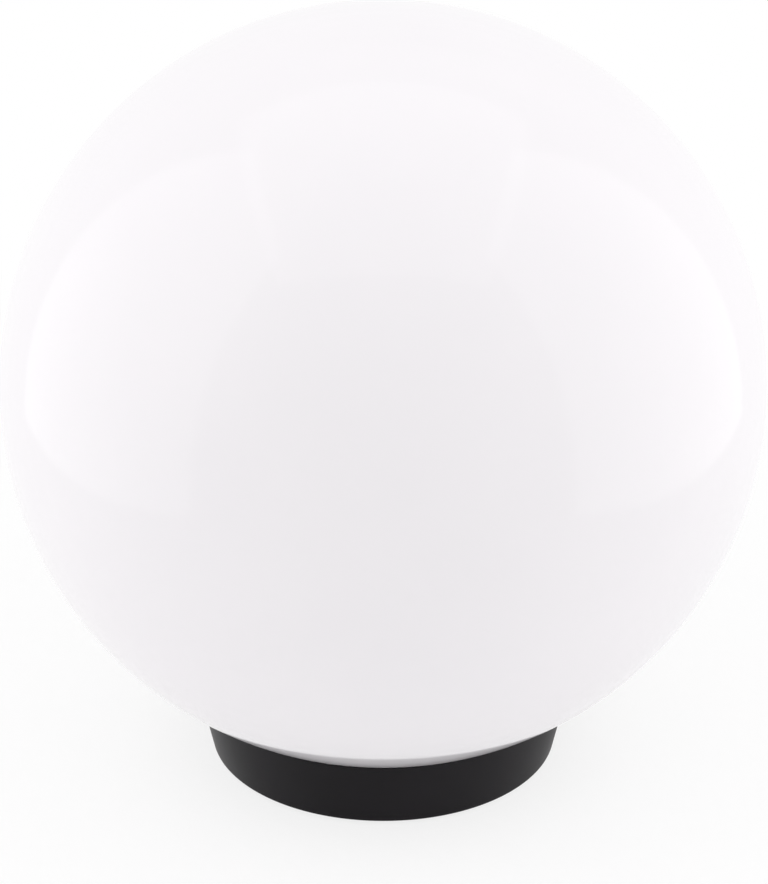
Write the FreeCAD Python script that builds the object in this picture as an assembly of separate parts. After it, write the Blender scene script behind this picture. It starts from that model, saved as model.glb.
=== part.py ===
import FreeCAD, Part
import math
import os

os.makedirs("parts", exist_ok=True)

Vector = FreeCAD.Vector
origin = Vector(0, 0, 0)
right = Vector(1, 0, 0)
back = Vector(0, 1, 0)
up = Vector(0, 0, 1)

# Garden globe light, in millimetres. The origin is on the ground under the globe's centre, +Z is up
# and the cable gland points to +Y. Everything below a driving dimension is worked out from it.

# Clearances
fit_gap = 0.3  # between pieces that move past each other
slip_gap = 0.1  # round a piece that is pushed into its hole
screw_gap = 0.25  # round a screw's shank in a through hole
thread_gap = 0.05  # round a screw's shank in its thread
overrun = 1.0  # how far a cut runs past the face it opens
root_sink = 0.5  # how far a rib, rim or stop runs into what carries it

# Globe
globe_radius = 150.0
globe_wall = 3.0
seat_radius = 75.0  # the skirt's rim, where it meets the globe
cut_inset = 12.6  # from the skirt's rim in to the edge where the globe is cut off
flange_width = 12.4  # the in-turned flange round the globe's mouth
flange_fillet = 2.0

# Bayonet
lug_count = 3
lug_width_deg = 22.0
lug_reach = 5.5
lug_thickness = 3.0
lug_lift = 0.5  # from the flange up to the lugs
notch_spare_deg = 2.0  # on each side of a lug
notch_spare = 0.8  # past a lug's tip
lock_turn_deg = 30.0
stop_width_deg = 3.2
stop_gap_deg = 0.4  # from a lug to the stop that it turns against
stop_height = 4.0
collar_wall = 3.0
collar_gap = 0.5

# Foot
skirt_bottom_radius = 68.5
skirt_wall = 2.5
skirt_edge_radius = 1.6
foot_stand = 1.5  # from the ground up to the plate
foot_radius = 6.0
foot_sink = 1.0
foot_edge = 0.5
foot_inset = 9.5  # from the skirt's inner wall in to a foot's centre
foot_count = 4
first_foot_deg = 45.0
deck_thickness = 2.0
gasket_width = 4.3
gasket_height = 2.6
gasket_groove = 0.6
gasket_inset = 1.0  # from the globe's cut edge in to the gasket
gusset_count = 12
gusset_length = 11.0
gusset_drop = 7.0
gusset_thickness = 1.6

# Plate under the foot
plate_thickness = 3.5
plate_gap = 0.25
seal_section = 1.9
fixing_hole_radius = 2.6
fixing_inset = 16.0  # from the skirt's inner wall in to a fixing hole's centre
fixing_count = 3
first_fixing_deg = 30.0
fixing_rim = 2.4
fixing_rim_height = 1.5
socket_radius = 8.0
socket_depth = 14.0
socket_wall = 3.0
socket_cover = 1.5
plate_rib_height = 4.0
plate_rib_thickness = 1.6

# Screws that hold the foot and the lampholder
screw_radius = 2.0
screw_head_radius = 3.8
screw_head_height = 2.4
screw_head_edge = 0.8
deck_screw_count = 4
first_deck_screw_deg = 45.0
deck_screw_inset = 6.5  # from the collar in to a screw's centre
deck_screw_length = 13.0
boss_wall = 2.4
pilot_spare = 1.0
bracket_screw_offset = 29.0
bracket_screw_length = 9.0

# Cable gland
gland_flats = 14.0
gland_thread_radius = 6.0
gland_bore_radius = 3.9
gland_seal_bore_radius = 3.4
gland_seal_wall = 1.4
gland_seal_length = 7.0
gland_hex_length = 4.0
gland_nut_length = 4.0
gland_collet_length = 5.0
gland_collet_wall = 0.7
gland_seal_step = 1.0  # how far the seal reaches into the hexagon
gland_cap_length = 8.8
gland_cap_wall = 1.2
gland_pad_thickness = 3.5
gland_pad_margin = 1.0  # past the hexagon's corners
gland_seat_sink = 1.6
gland_end = 1.0

# Mains terminal
pole_offset = 4.8  # from the middle to each pole, and to each lead
terminal_length = 16.0
terminal_front = 22.0  # from the light's axis back to the terminal's face
terminal_axis_height = 4.5
terminal_barrel_radius = 4.3
terminal_tower_radius = 2.9
terminal_height = 11.5
terminal_base_height = 5.0
terminal_base_inset = 1.0
terminal_tube_radius = 2.2
terminal_tube_bore_radius = 1.4
terminal_tube_end = 1.0
clamp_screw_radius = 1.3
clamp_head_radius = 1.8
clamp_head_height = 2.4
slot_width = 0.6
slot_depth = 0.8
terminal_screw_sink = 2.4
terminal_screw_floor = 1.0  # of plate left under the block's screw

# Leads inside the light
lead_radius = 1.1
lead_bend_radius = 4.5
lead_row = 14.5  # from the light's axis back to the leads' rise
lead_in_terminal = 5.0
lead_in_holder = 5.5

# Grommet in the deck
grommet_hole_radius = 8.0
grommet_flange = 1.6
grommet_flange_thickness = 1.2

# Lampholder
bracket_width = 20.0
bracket_thickness = 1.2
bracket_height = 10.6
bracket_span = 45.0
bracket_foot = 11.5
bracket_hole_radius = 5.0
bracket_bend_radius = 1.08
holder_radius = 22.0
holder_height = 46.0
holder_base_height = 16.0
holder_step = 1.5
holder_taper = 0.5
holder_rim = 2.0
holder_edge = 1.0
holder_mouth_wall = 5.2
holder_screw_offset = 14.0
holder_screw_length = 9.0
shell_inner_radius = 13.3
shell_wall = 0.4
shell_length = 24.0
ledge_width = 1.2
contact_room = 4.0  # from the floor of the porcelain up to the shell
shell_mouth = 4.0  # from the shell's top up to the porcelain's
tip_drop = 0.8  # from the shell's lower edge down to the bulb's tip
contact_thickness = 0.5
contact_width = 4.6
stud_radius = 1.2
stud_head_radius = 1.4
stud_head_height = 0.5
stud_row = 9.0
clamp_width = 6.6
clamp_length = 9.8
clamp_height = 8.5
clamp_lift = 1.0
clamp_access_radius = 2.85
clamp_lead_end = 2.7
clamp_screw_height = 3.8
clamp_screw_length = 3.6

# Bulb
bulb_length = 108.0
bulb_radius = 30.0
tip_radius = 4.8
tip_height = 1.6
tip_edge = 0.6
cap_clearance = 0.3
cap_wall = 0.5
cap_start = 6.0  # from the bulb's tip up to the cap
cap_length = 21.0
insulator_rim = 2.0
spigot_length = 15.0
neck_radius = 14.0
neck_length = 3.0
bulb_wall = 1.6
diffuser_wall = 1.2
diffuser_start = 66.8  # from the bulb's tip up to the diffuser's edge
led_board_thickness = 1.6
led_board_inset = 3.0

# Levels above the ground
plate_bottom = foot_stand
plate_top = plate_bottom + plate_thickness
chamber_height = gland_flats + 2 * fit_gap
deck_bottom = plate_top + chamber_height
deck_top = deck_bottom + deck_thickness
flange_bottom = deck_top - gasket_groove + gasket_height
flange_top = flange_bottom + globe_wall
lug_bottom = flange_top + lug_lift
collar_top = lug_bottom + lug_thickness

# Radii of the mouth from the rim inwards, and of the plate
cut_radius = seat_radius - cut_inset
mouth_radius = cut_radius - flange_width
collar_radius = mouth_radius - collar_gap
lug_radius = collar_radius + lug_reach
notch_radius = lug_radius + notch_spare
gasket_outer = cut_radius - gasket_inset
gasket_inner = gasket_outer - gasket_width
globe_centre = flange_bottom + math.sqrt(globe_radius**2 - cut_radius**2)
plate_seat_radius = skirt_bottom_radius - skirt_wall
plate_radius = plate_seat_radius - plate_gap
foot_circle = plate_seat_radius - foot_inset
fixing_circle = plate_seat_radius - fixing_inset
deck_screw_circle = collar_radius - collar_wall - deck_screw_inset
gland_axis = plate_top + chamber_height / 2
bracket_top = deck_top + bracket_height
holder_top = bracket_top + holder_height
shell_top = holder_top - shell_mouth
shell_bottom = shell_top - shell_length
cavity_floor = shell_bottom - contact_room
bulb_tip = shell_bottom - tip_drop


# Shapes that many pieces share
def cylinder(radius, height, x, y, z, direction=up):
    return Part.makeCylinder(radius, height, Vector(x, y, z), direction)


def ring(outer, inner, height, x, y, z, direction=up):
    return cylinder(outer, height, x, y, z, direction).cut(
        cylinder(inner, height, x, y, z, direction)
    )


def hole_through(radius, bottom, thickness, x, y):
    return cylinder(radius, thickness + 2 * overrun, x, y, bottom - overrun)


def block(width, depth, height, x, y, z):
    # centred on x and y, standing on z
    return Part.makeBox(width, depth, height, Vector(x - width / 2, y - depth / 2, z))


def turned(points, x=0, y=0):
    # a profile of radius and height, turned about the upright line through x and y
    corners = [Vector(radius, 0, height) for radius, height in points]
    corners.append(corners[0])
    solid = Part.Face(Part.makePolygon(corners)).revolve(origin, up, 360)
    solid.translate(Vector(x, y, 0))
    return solid


def turned_edges(edges):
    return Part.Face(Part.Wire(edges)).revolve(origin, up, 360)


def line(start, end):
    return Part.makeLine(start, end)


def arc(start, middle, end):
    return Part.Arc(start, middle, end).toShape()


def sector(outer, inner, height, z, middle_deg, width_deg):
    corners = [Vector(inner, 0, z), Vector(outer, 0, z), Vector(outer, 0, z + height)]
    corners += [Vector(inner, 0, z + height), Vector(inner, 0, z)]
    solid = Part.Face(Part.makePolygon(corners)).revolve(origin, up, width_deg)
    solid.rotate(origin, up, middle_deg - width_deg / 2)
    return solid


def around(radius, count, first_deg):
    # evenly spaced places on a circle
    places = []
    for number in range(count):
        angle = math.radians(first_deg + number * 360 / count)
        places.append((radius * math.cos(angle), radius * math.sin(angle)))
    return places


def hexagon_corner(flats):
    return flats / 2 / math.cos(math.radians(30))


def hexagon(flats, length, y):
    # a hexagonal bar along the gland's axis, with two of its flats level
    corner = hexagon_corner(flats)
    corners = []
    for number in range(7):
        angle = math.radians(60 * number)
        corners.append(Vector(corner * math.cos(angle), y, gland_axis + corner * math.sin(angle)))
    return Part.Face(Part.makePolygon(corners)).extrude(back * length)


def gland_rod(radius, length, y):
    return cylinder(radius, length, 0, y, gland_axis, back)


def pan_screw(x, y, head_seat, length):
    # a screw with its round head up, seated at head_seat
    shank = cylinder(screw_radius - thread_gap, length, x, y, head_seat - length)
    edge = screw_head_edge
    top = head_seat + screw_head_height
    points = [(0, head_seat), (screw_head_radius, head_seat), (screw_head_radius, top - edge)]
    points += [(screw_head_radius - edge, top), (0, top)]
    return turned(points, x, y).fuse(shank)


def group(solids):
    return Part.makeCompound(solids)


def is_circle_at(edge, radius, height):
    box = edge.BoundBox
    return abs(box.XMax - radius) < 0.01 and abs(box.ZMax - height) < 0.01 and box.ZLength < 0.01


def globe_height(radius, distance):
    # the height of a sphere's underside round the globe's centre
    return globe_centre - math.sqrt(distance**2 - radius**2)


def skirt_outer(height):
    share = (height - plate_bottom) / (globe_height(seat_radius, globe_radius) - plate_bottom)
    return skirt_bottom_radius + share * (seat_radius - skirt_bottom_radius)


# Globe, with its flange, notches and stops
def make_globe():
    inner = globe_radius - globe_wall
    inner_edge = math.sqrt(inner**2 - (globe_centre - flange_top) ** 2)
    outer_side = Vector(globe_radius, 0, globe_centre)
    inner_side = Vector(inner, 0, globe_centre)
    outer_top = Vector(0, 0, globe_centre + globe_radius)
    inner_top = Vector(0, 0, globe_centre + inner)
    cut = Vector(cut_radius, 0, flange_bottom)
    rise = Vector(inner_edge, 0, flange_top)
    lip_top = Vector(mouth_radius, 0, flange_top)
    lip_bottom = Vector(mouth_radius, 0, flange_bottom)
    profile = [arc(cut, outer_side, outer_top), line(outer_top, inner_top)]
    profile += [arc(inner_top, inner_side, rise), line(rise, lip_top)]
    profile += [line(lip_top, lip_bottom), line(lip_bottom, cut)]
    shell = turned_edges(profile)
    corner = [edge for edge in shell.Edges if is_circle_at(edge, inner_edge, flange_top)]
    shell = shell.makeFillet(min(flange_fillet, globe_wall), corner)
    stop_offset = lug_width_deg / 2 + stop_gap_deg + stop_width_deg / 2
    for number in range(lug_count):
        middle = number * 360 / lug_count
        shell = shell.cut(notch(middle))
        for place in (middle - stop_offset - lock_turn_deg, middle + stop_offset + notch_spare_deg):
            shell = shell.fuse(stop(place))
    return shell.removeSplitter()


def notch(middle_deg):
    width = lug_width_deg + 2 * notch_spare_deg
    height = globe_wall + 2 * overrun
    return sector(notch_radius, mouth_radius - overrun, height, flange_bottom - overrun, middle_deg, width)


def stop(middle_deg):
    height = stop_height + root_sink
    return sector(lug_radius, mouth_radius, height, flange_top - root_sink, middle_deg, stop_width_deg)


def make_globe_gasket():
    return ring(gasket_outer, gasket_inner, gasket_height, 0, 0, flange_bottom - gasket_height)


# Moulded foot: skirt, deck, collar with lugs, bosses, gussets and the gland's pad
def make_base_housing():
    seat = globe_radius + fit_gap
    rim_inner = seat_radius - skirt_wall
    rim_middle = seat_radius - skirt_wall / 2
    rim_corner = Vector(seat_radius, 0, globe_height(seat_radius, seat))
    rim_mid = Vector(rim_middle, 0, globe_height(rim_middle, seat))
    rim_edge = Vector(rim_inner, 0, globe_height(rim_inner, seat))
    groove_outer = gasket_outer + fit_gap
    groove_inner = gasket_inner - fit_gap
    groove_floor = deck_top - gasket_groove
    points = [(skirt_outer(deck_top) - skirt_wall, deck_top)]
    points += [(groove_outer, deck_top), (groove_outer, groove_floor)]
    points += [(groove_inner, groove_floor), (groove_inner, deck_top)]
    points += [(collar_radius, deck_top), (collar_radius, collar_top)]
    points += [(collar_radius - collar_wall, collar_top), (collar_radius - collar_wall, deck_top)]
    points += [(0, deck_top), (0, deck_bottom), (skirt_outer(deck_bottom) - skirt_wall, deck_bottom)]
    points += [(plate_seat_radius, plate_top), (plate_seat_radius, plate_bottom)]
    points += [(skirt_bottom_radius, plate_bottom)]
    corners = [rim_edge] + [Vector(radius, 0, height) for radius, height in points] + [rim_corner]
    profile = [line(first, second) for first, second in zip(corners, corners[1:])]
    profile.append(arc(rim_corner, rim_mid, rim_edge))
    shell = turned_edges(profile)
    edges = [edge for edge in shell.Edges if is_circle_at(edge, skirt_bottom_radius, plate_bottom)]
    shell = shell.makeFillet(min(skirt_edge_radius, 0.8 * skirt_wall), edges)

    for number in range(gusset_count):
        shell = shell.fuse(gusset((number + 0.5) * 360 / gusset_count))
    for number in range(lug_count):
        middle = number * 360 / lug_count
        shell = shell.fuse(lug(middle))
    for side in (-1, 1):
        shell = shell.fuse(bracket_boss(side * bracket_screw_offset))
        shell = shell.cut(bracket_pilot(side * bracket_screw_offset))
    for x, y in deck_screw_places():
        shell = shell.cut(hole_through(screw_radius + screw_gap, deck_bottom, deck_thickness, x, y))
    shell = shell.cut(hole_through(grommet_hole_radius, deck_bottom, deck_thickness, 0, lead_row))
    return fit_gland_pad(shell).removeSplitter()


def deck_screw_places():
    return around(deck_screw_circle, deck_screw_count, first_deck_screw_deg)


def gusset(angle_deg):
    wall = skirt_outer(deck_bottom) - skirt_wall / 2
    low_wall = skirt_outer(deck_bottom - gusset_drop) - skirt_wall / 2
    root = deck_bottom + root_sink
    tip = wall - gusset_length
    corners = [Vector(wall, 0, root), Vector(tip, 0, root), Vector(tip, 0, deck_bottom)]
    corners += [Vector(low_wall, 0, deck_bottom - gusset_drop), Vector(wall, 0, root)]
    solid = Part.Face(Part.makePolygon(corners)).extrude(back * gusset_thickness)
    solid.translate(back * (-gusset_thickness / 2))
    solid.rotate(origin, up, angle_deg)
    return solid


def lug(middle_deg):
    root = collar_radius - collar_wall / 2
    return sector(lug_radius, root, lug_thickness, lug_bottom, middle_deg, lug_width_deg)


def bracket_boss(x):
    height = bracket_screw_length + pilot_spare - deck_thickness
    return cylinder(screw_radius + boss_wall, height, x, 0, deck_bottom - height)


def bracket_pilot(x):
    depth = bracket_screw_length - bracket_thickness + pilot_spare / 2
    return cylinder(screw_radius, depth + overrun, x, 0, deck_top - depth)


def gland_seat():
    return skirt_outer(gland_axis) - gland_seat_sink


def gland_pad_face():
    return gland_seat() - gland_pad_thickness


def fit_gland_pad(shell):
    # a flat pad from inside the skirt out to its wall, bored, and faced outside for the gland
    width = 2 * (hexagon_corner(gland_flats) + gland_pad_margin)
    inside = [(0, plate_top), (skirt_outer(plate_top), plate_top)]
    inside += [(skirt_outer(deck_bottom), deck_bottom), (0, deck_bottom)]
    pad_corner = Vector(-width / 2, gland_pad_face(), plate_top)
    pad = Part.makeBox(width, skirt_bottom_radius, chamber_height, pad_corner)
    shell = shell.fuse(pad.common(turned(inside)))
    room_length = 2 * gland_nut_length
    room_corner = pad_corner - back * room_length
    shell = shell.cut(Part.makeBox(width, room_length, chamber_height, room_corner))
    facing = gland_rod(hexagon_corner(gland_flats) + fit_gap, skirt_bottom_radius, gland_seat())
    shell = shell.cut(facing)
    bore_length = gland_pad_thickness + 2 * overrun
    return shell.cut(gland_rod(gland_thread_radius + thread_gap, bore_length, gland_pad_face() - overrun))


# Plate that closes the foot from below
def make_base_plate():
    plate = cylinder(plate_radius, plate_thickness, 0, 0, plate_bottom).cut(seal_groove())
    for number in range(deck_screw_count):
        plate = plate.fuse(plate_rib(first_deck_screw_deg + number * 360 / deck_screw_count))
    socket_height = socket_depth + socket_cover
    plate = plate.fuse(cylinder(socket_radius + socket_wall, socket_height, 0, 0, plate_bottom))
    for x, y in deck_screw_places():
        post = cylinder(screw_radius + boss_wall, deck_bottom - plate_bottom, x, y, plate_bottom)
        plate = plate.fuse(post)
    rim_root = plate_top - root_sink
    rim_height = fixing_rim_height + root_sink
    for x, y in fixing_places():
        plate = plate.fuse(cylinder(fixing_hole_radius + fixing_rim, rim_height, x, y, rim_root))
    plate = plate.cut(cylinder(socket_radius, socket_depth, 0, 0, plate_bottom))
    pilot = deck_screw_length - deck_thickness + pilot_spare / 2
    for x, y in deck_screw_places():
        plate = plate.cut(cylinder(screw_radius, pilot, x, y, deck_bottom - pilot))
    for x, y in fixing_places():
        thickness = plate_thickness + fixing_rim_height
        plate = plate.cut(hole_through(fixing_hole_radius, plate_bottom, thickness, x, y))
    for x, y in foot_places():
        plate = plate.cut(cylinder(foot_radius + slip_gap, foot_sink, x, y, plate_bottom))
    depth = plate_thickness - terminal_screw_floor
    pilot_radius = clamp_screw_radius + thread_gap
    return plate.cut(cylinder(pilot_radius, depth, 0, terminal_middle(), plate_top - depth))


def fixing_places():
    return around(fixing_circle, fixing_count, first_fixing_deg)


def foot_places():
    return around(foot_circle, foot_count, first_foot_deg)


def seal_groove():
    height = seal_section + slip_gap
    inner = plate_seat_radius - seal_section
    return ring(plate_radius + overrun, inner, height, 0, 0, seal_level() - height / 2)


def seal_level():
    return plate_bottom + plate_thickness / 2


def plate_rib(angle_deg):
    corner = Vector(0, -plate_rib_thickness / 2, plate_top - root_sink)
    solid = Part.makeBox(deck_screw_circle, plate_rib_thickness, plate_rib_height + root_sink, corner)
    solid.rotate(origin, up, angle_deg)
    return solid


def make_plate_seal():
    low = seal_level() - seal_section / 2
    return ring(plate_seat_radius, plate_seat_radius - seal_section, seal_section, 0, 0, low)


def make_deck_screws():
    return group([pan_screw(x, y, deck_top, deck_screw_length) for x, y in deck_screw_places()])


def make_rubber_feet():
    feet = []
    height = foot_stand + foot_sink
    points = [(0, 0), (foot_radius - foot_edge, 0), (foot_radius, foot_edge), (foot_radius, height)]
    points.append((0, height))
    for x, y in foot_places():
        feet.append(turned(points, x, y))
    return group(feet)


# Cable gland in the back of the skirt
def make_gland_body():
    seat = gland_seat()
    inner_end = gland_pad_face() - gland_nut_length - gland_end
    outer_end = seat + gland_hex_length + gland_collet_length
    body = gland_rod(gland_thread_radius, seat - inner_end, inner_end)
    body = body.fuse(hexagon(gland_flats, gland_hex_length, seat))
    body = body.fuse(gland_rod(gland_collet_radius(), outer_end - seat, seat))
    body = body.cut(gland_rod(gland_bore_radius, outer_end - inner_end, inner_end))
    return body.cut(gland_rod(gland_seal_radius() + thread_gap, gland_seal_length, gland_seal_start()))


def gland_seal_radius():
    return gland_seal_bore_radius + gland_seal_wall


def gland_collet_radius():
    return gland_seal_radius() + gland_collet_wall


def gland_seal_start():
    return gland_seat() + gland_hex_length - gland_seal_step


def gland_seal_end():
    return gland_seal_start() + gland_seal_length


def make_gland_seal():
    start = gland_seal_start()
    solid = gland_rod(gland_seal_radius(), gland_seal_length, start)
    return solid.cut(gland_rod(gland_seal_bore_radius, gland_seal_length, start))


def make_gland_nut():
    start = gland_pad_face() - gland_nut_length
    solid = hexagon(gland_flats, gland_nut_length, start)
    return solid.cut(gland_rod(gland_thread_radius + thread_gap, gland_nut_length, start))


def make_gland_cap():
    start = gland_seat() + gland_hex_length + fit_gap
    grip = gland_cap_length / 2
    solid = hexagon(gland_flats, grip, start)
    large = gland_flats / 2
    small = gland_seal_radius() + gland_cap_wall
    nose_start = Vector(0, start + grip, gland_axis)
    solid = solid.fuse(Part.makeCone(large, small, gland_cap_length - grip, nose_start, back))
    inside = gland_collet_radius() + thread_gap
    solid = solid.cut(gland_rod(inside, gland_seal_end() - start, start))
    return solid.cut(gland_rod(gland_bore_radius, gland_cap_length, start))


# Two-pole mains terminal on the plate
def terminal_middle():
    return terminal_front + terminal_length / 2


def terminal_axis():
    return plate_top + terminal_axis_height


def clamp_rows():
    quarter = terminal_length / 4
    return (terminal_middle() - quarter, terminal_middle() + quarter)


def poles():
    return (-pole_offset, pole_offset)


def make_terminal_block():
    width = 2 * (pole_offset + terminal_barrel_radius)
    middle = terminal_middle()
    base_width = width - 2 * terminal_base_inset
    body = block(base_width, terminal_length, terminal_base_height, 0, middle, plate_top)
    for x in poles():
        body = body.fuse(pole_rod(terminal_barrel_radius, x, 0))
        for y in clamp_rows():
            height = terminal_height - terminal_axis_height
            body = body.fuse(cylinder(terminal_tower_radius, height, x, y, terminal_axis()))
    for x in poles():
        body = body.cut(pole_rod(terminal_tube_radius + thread_gap, x, 0))
        for y in clamp_rows():
            body = body.cut(cylinder(clamp_head_radius + slip_gap, terminal_height, x, y, terminal_axis()))
    body = body.cut(cylinder(clamp_screw_radius + slip_gap, terminal_height, 0, middle, plate_top))
    sink = clamp_head_radius + slip_gap
    return body.cut(cylinder(sink, terminal_height, 0, middle, plate_top + terminal_base_height))


def pole_rod(radius, x, inset):
    length = terminal_length - 2 * inset
    return cylinder(radius, length, x, terminal_front + inset, terminal_axis(), back)


def make_terminal_tubes():
    tubes = []
    for x in poles():
        tube = pole_rod(terminal_tube_radius, x, terminal_tube_end)
        tube = tube.cut(pole_rod(terminal_tube_bore_radius, x, terminal_tube_end))
        for y in clamp_rows():
            hole = cylinder(clamp_screw_radius + thread_gap, 2 * terminal_tube_radius, x, y, terminal_axis())
            tube = tube.cut(hole)
        tubes.append(tube)
    return group(tubes)


def slotted(solid, x, y, top):
    slot = block(4 * clamp_head_radius, slot_width, slot_depth, x, y, top - slot_depth)
    return solid.cut(slot)


def make_terminal_screws():
    screws = []
    tip = terminal_axis() + lead_radius + thread_gap
    top = plate_top + terminal_height - terminal_screw_sink
    for x in poles():
        for y in clamp_rows():
            shank = cylinder(clamp_screw_radius, top - clamp_head_height - tip, x, y, tip)
            head = cylinder(clamp_head_radius, clamp_head_height, x, y, top - clamp_head_height)
            screws.append(slotted(shank.fuse(head), x, y, top))
    return group(screws)


def make_terminal_block_screw():
    seat = plate_top + terminal_base_height
    y = terminal_middle()
    tip = plate_bottom + terminal_screw_floor + slip_gap
    shank = cylinder(clamp_screw_radius, seat - tip, 0, y, tip)
    head_height = clamp_head_height / 2
    head = cylinder(clamp_head_radius, head_height, 0, y, seat)
    return slotted(shank.fuse(head), 0, y, seat + head_height)


# Leads from the terminal up through the deck into the lampholder
def make_lead(x):
    level = terminal_axis()
    bend = lead_bend_radius
    start = Vector(x, terminal_front + lead_in_terminal, level)
    bend_start = Vector(x, lead_row + bend, level)
    half = bend * math.sqrt(0.5)
    bend_middle = Vector(x, lead_row + bend - half, level + bend - half)
    bend_end = Vector(x, lead_row, level + bend)
    end = Vector(x, lead_row, bracket_top + lead_in_holder)
    path = Part.Wire([line(start, bend_start), arc(bend_start, bend_middle, bend_end), line(bend_end, end)])
    section = Part.Wire(Part.makeCircle(lead_radius, start, back))
    lead = path.makePipeShell([section], True, False)
    expected = math.pi * lead_radius**2 * path.Length
    print("lead at x", x, "bend radius", bend, "volume share", round(lead.Volume / expected, 5))
    return lead


def make_wire_grommet():
    neck = grommet_hole_radius - thread_gap
    flange = grommet_hole_radius + grommet_flange
    low = deck_bottom - grommet_flange_thickness
    high = deck_top + grommet_flange_thickness
    points = [(0, low), (flange, low), (flange, deck_bottom), (neck, deck_bottom)]
    points += [(neck, deck_top), (flange, deck_top), (flange, high), (0, high)]
    solid = turned(points, 0, lead_row)
    for x in poles():
        solid = solid.cut(hole_through(lead_radius + thread_gap, low, high - low, x, lead_row))
    return solid


# Lampholder: steel bridge, porcelain, shell, contacts and clamps
def make_holder_bracket():
    half = bracket_span / 2
    inner = half - bracket_thickness
    reach = half + bracket_foot
    under_top = bracket_top - bracket_thickness
    foot_top = deck_top + bracket_thickness
    outline = [(reach, deck_top), (reach, foot_top), (half, foot_top), (half, bracket_top)]
    outline += [(-half, bracket_top), (-half, foot_top), (-reach, foot_top), (-reach, deck_top)]
    outline += [(-inner, deck_top), (-inner, under_top), (inner, under_top), (inner, deck_top)]
    corners = [Vector(x, -bracket_width / 2, z) for x, z in outline]
    corners.append(corners[0])
    bridge = Part.Face(Part.makePolygon(corners)).extrude(back * bracket_width)
    bends = []
    for edge in bridge.Edges:
        box = edge.BoundBox
        upper = abs(box.ZMax - bracket_top) < 0.01 and box.ZLength < 0.01
        if upper and abs(abs(box.XMax) - half) < 0.01 and box.XLength < 0.01:
            bends.append(edge)
    bridge = bridge.makeFillet(bracket_bend_radius, bends)
    shank_hole = screw_radius + screw_gap
    for side in (-1, 1):
        low = side * bracket_screw_offset
        high = side * holder_screw_offset
        bridge = bridge.cut(hole_through(shank_hole, deck_top, bracket_thickness, low, 0))
        bridge = bridge.cut(hole_through(shank_hole, under_top, bracket_thickness, high, 0))
    return bridge.cut(hole_through(bracket_hole_radius, under_top, bracket_thickness, 0, 0))


def make_bracket_screws():
    seat = deck_top + bracket_thickness
    places = (-bracket_screw_offset, bracket_screw_offset)
    return group([pan_screw(x, 0, seat, bracket_screw_length) for x in places])


def make_holder_body():
    body_radius = holder_radius - holder_step
    top_radius = body_radius - holder_taper
    edge = holder_edge
    bore = shell_inner_radius + shell_wall + slip_gap
    mouth = top_radius + edge - holder_mouth_wall
    points = [(0, bracket_top), (holder_radius - edge, bracket_top), (holder_radius, bracket_top + edge)]
    points += [(holder_radius, bracket_top + holder_base_height)]
    points += [(body_radius, bracket_top + holder_base_height + holder_step)]
    points += [(top_radius, holder_top - holder_rim - edge), (top_radius + edge, holder_top - holder_rim)]
    points += [(top_radius + edge, holder_top - edge), (top_radius, holder_top), (mouth, holder_top)]
    points += [(bore, shell_top), (bore, shell_bottom), (ledge_radius(), shell_bottom)]
    points += [(ledge_radius(), cavity_floor), (0, cavity_floor)]
    body = turned(points)
    depth = holder_screw_length - bracket_thickness + pilot_spare
    for side in (-1, 1):
        body = body.cut(cylinder(screw_radius, depth, side * holder_screw_offset, 0, bracket_top))
    width = clamp_width + 2 * slip_gap
    length = clamp_length + 2 * slip_gap
    floor_height = cavity_floor - bracket_top
    for x in poles():
        body = body.cut(block(width, length, clamp_lift + clamp_height, x, clamp_middle(), bracket_top))
        body = body.cut(cylinder(stud_radius + slip_gap, floor_height, x, stud_row, bracket_top))
        body = body.cut(cylinder(clamp_access_radius, holder_radius, x, lead_row, clamp_screw_level(), back))
    return body


def ledge_radius():
    return shell_inner_radius + shell_wall - ledge_width


def clamp_middle():
    return lead_row + clamp_lead_end - clamp_length / 2


def clamp_bottom():
    return bracket_top + clamp_lift


def clamp_screw_level():
    return clamp_bottom() + clamp_screw_height


def make_holder_screws():
    # heads down, under the bridge
    screws = []
    seat = bracket_top - bracket_thickness
    for side in (-1, 1):
        x = side * holder_screw_offset
        screw = pan_screw(x, 0, 0, holder_screw_length)
        screw.rotate(Vector(x, 0, 0), right, 180)
        screw.translate(up * seat)
        screws.append(screw)
    return group(screws)


def make_screw_shell():
    outer = shell_inner_radius + shell_wall
    return ring(outer, shell_inner_radius, shell_length, 0, 0, shell_bottom)


def make_holder_terminals():
    clamps = []
    low = clamp_bottom()
    stud_top = cavity_floor + contact_thickness
    stud_start = low + clamp_height
    lead_depth = lead_in_holder - clamp_lift + pilot_spare / 2
    screw_hole = clamp_screw_radius + thread_gap
    for x in poles():
        clamp = block(clamp_width, clamp_length, clamp_height, x, clamp_middle(), low)
        clamp = clamp.fuse(cylinder(stud_radius, stud_top - stud_start, x, stud_row, stud_start))
        clamp = clamp.fuse(cylinder(stud_head_radius, stud_head_height, x, stud_row, stud_top))
        clamp = clamp.cut(cylinder(lead_radius + slip_gap, lead_depth, x, lead_row, low))
        clamp = clamp.cut(cylinder(screw_hole, clamp_length, x, lead_row, clamp_screw_level(), back))
        clamps.append(clamp)
    return group(clamps)


def make_holder_terminal_screws():
    screws = []
    level = clamp_screw_level()
    tip = lead_row + lead_radius + thread_gap
    head_height = clamp_head_height / 2
    head_start = tip + clamp_screw_length - head_height
    head_end = tip + clamp_screw_length
    for x in poles():
        shank = cylinder(clamp_screw_radius, clamp_screw_length, x, tip, level, back)
        head = cylinder(clamp_head_radius, head_height, x, head_start, level, back)
        slot = block(4 * clamp_head_radius, slot_depth, slot_width, x, head_end, level - slot_width / 2)
        screws.append(shank.fuse(head).cut(slot))
    return group(screws)


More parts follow.
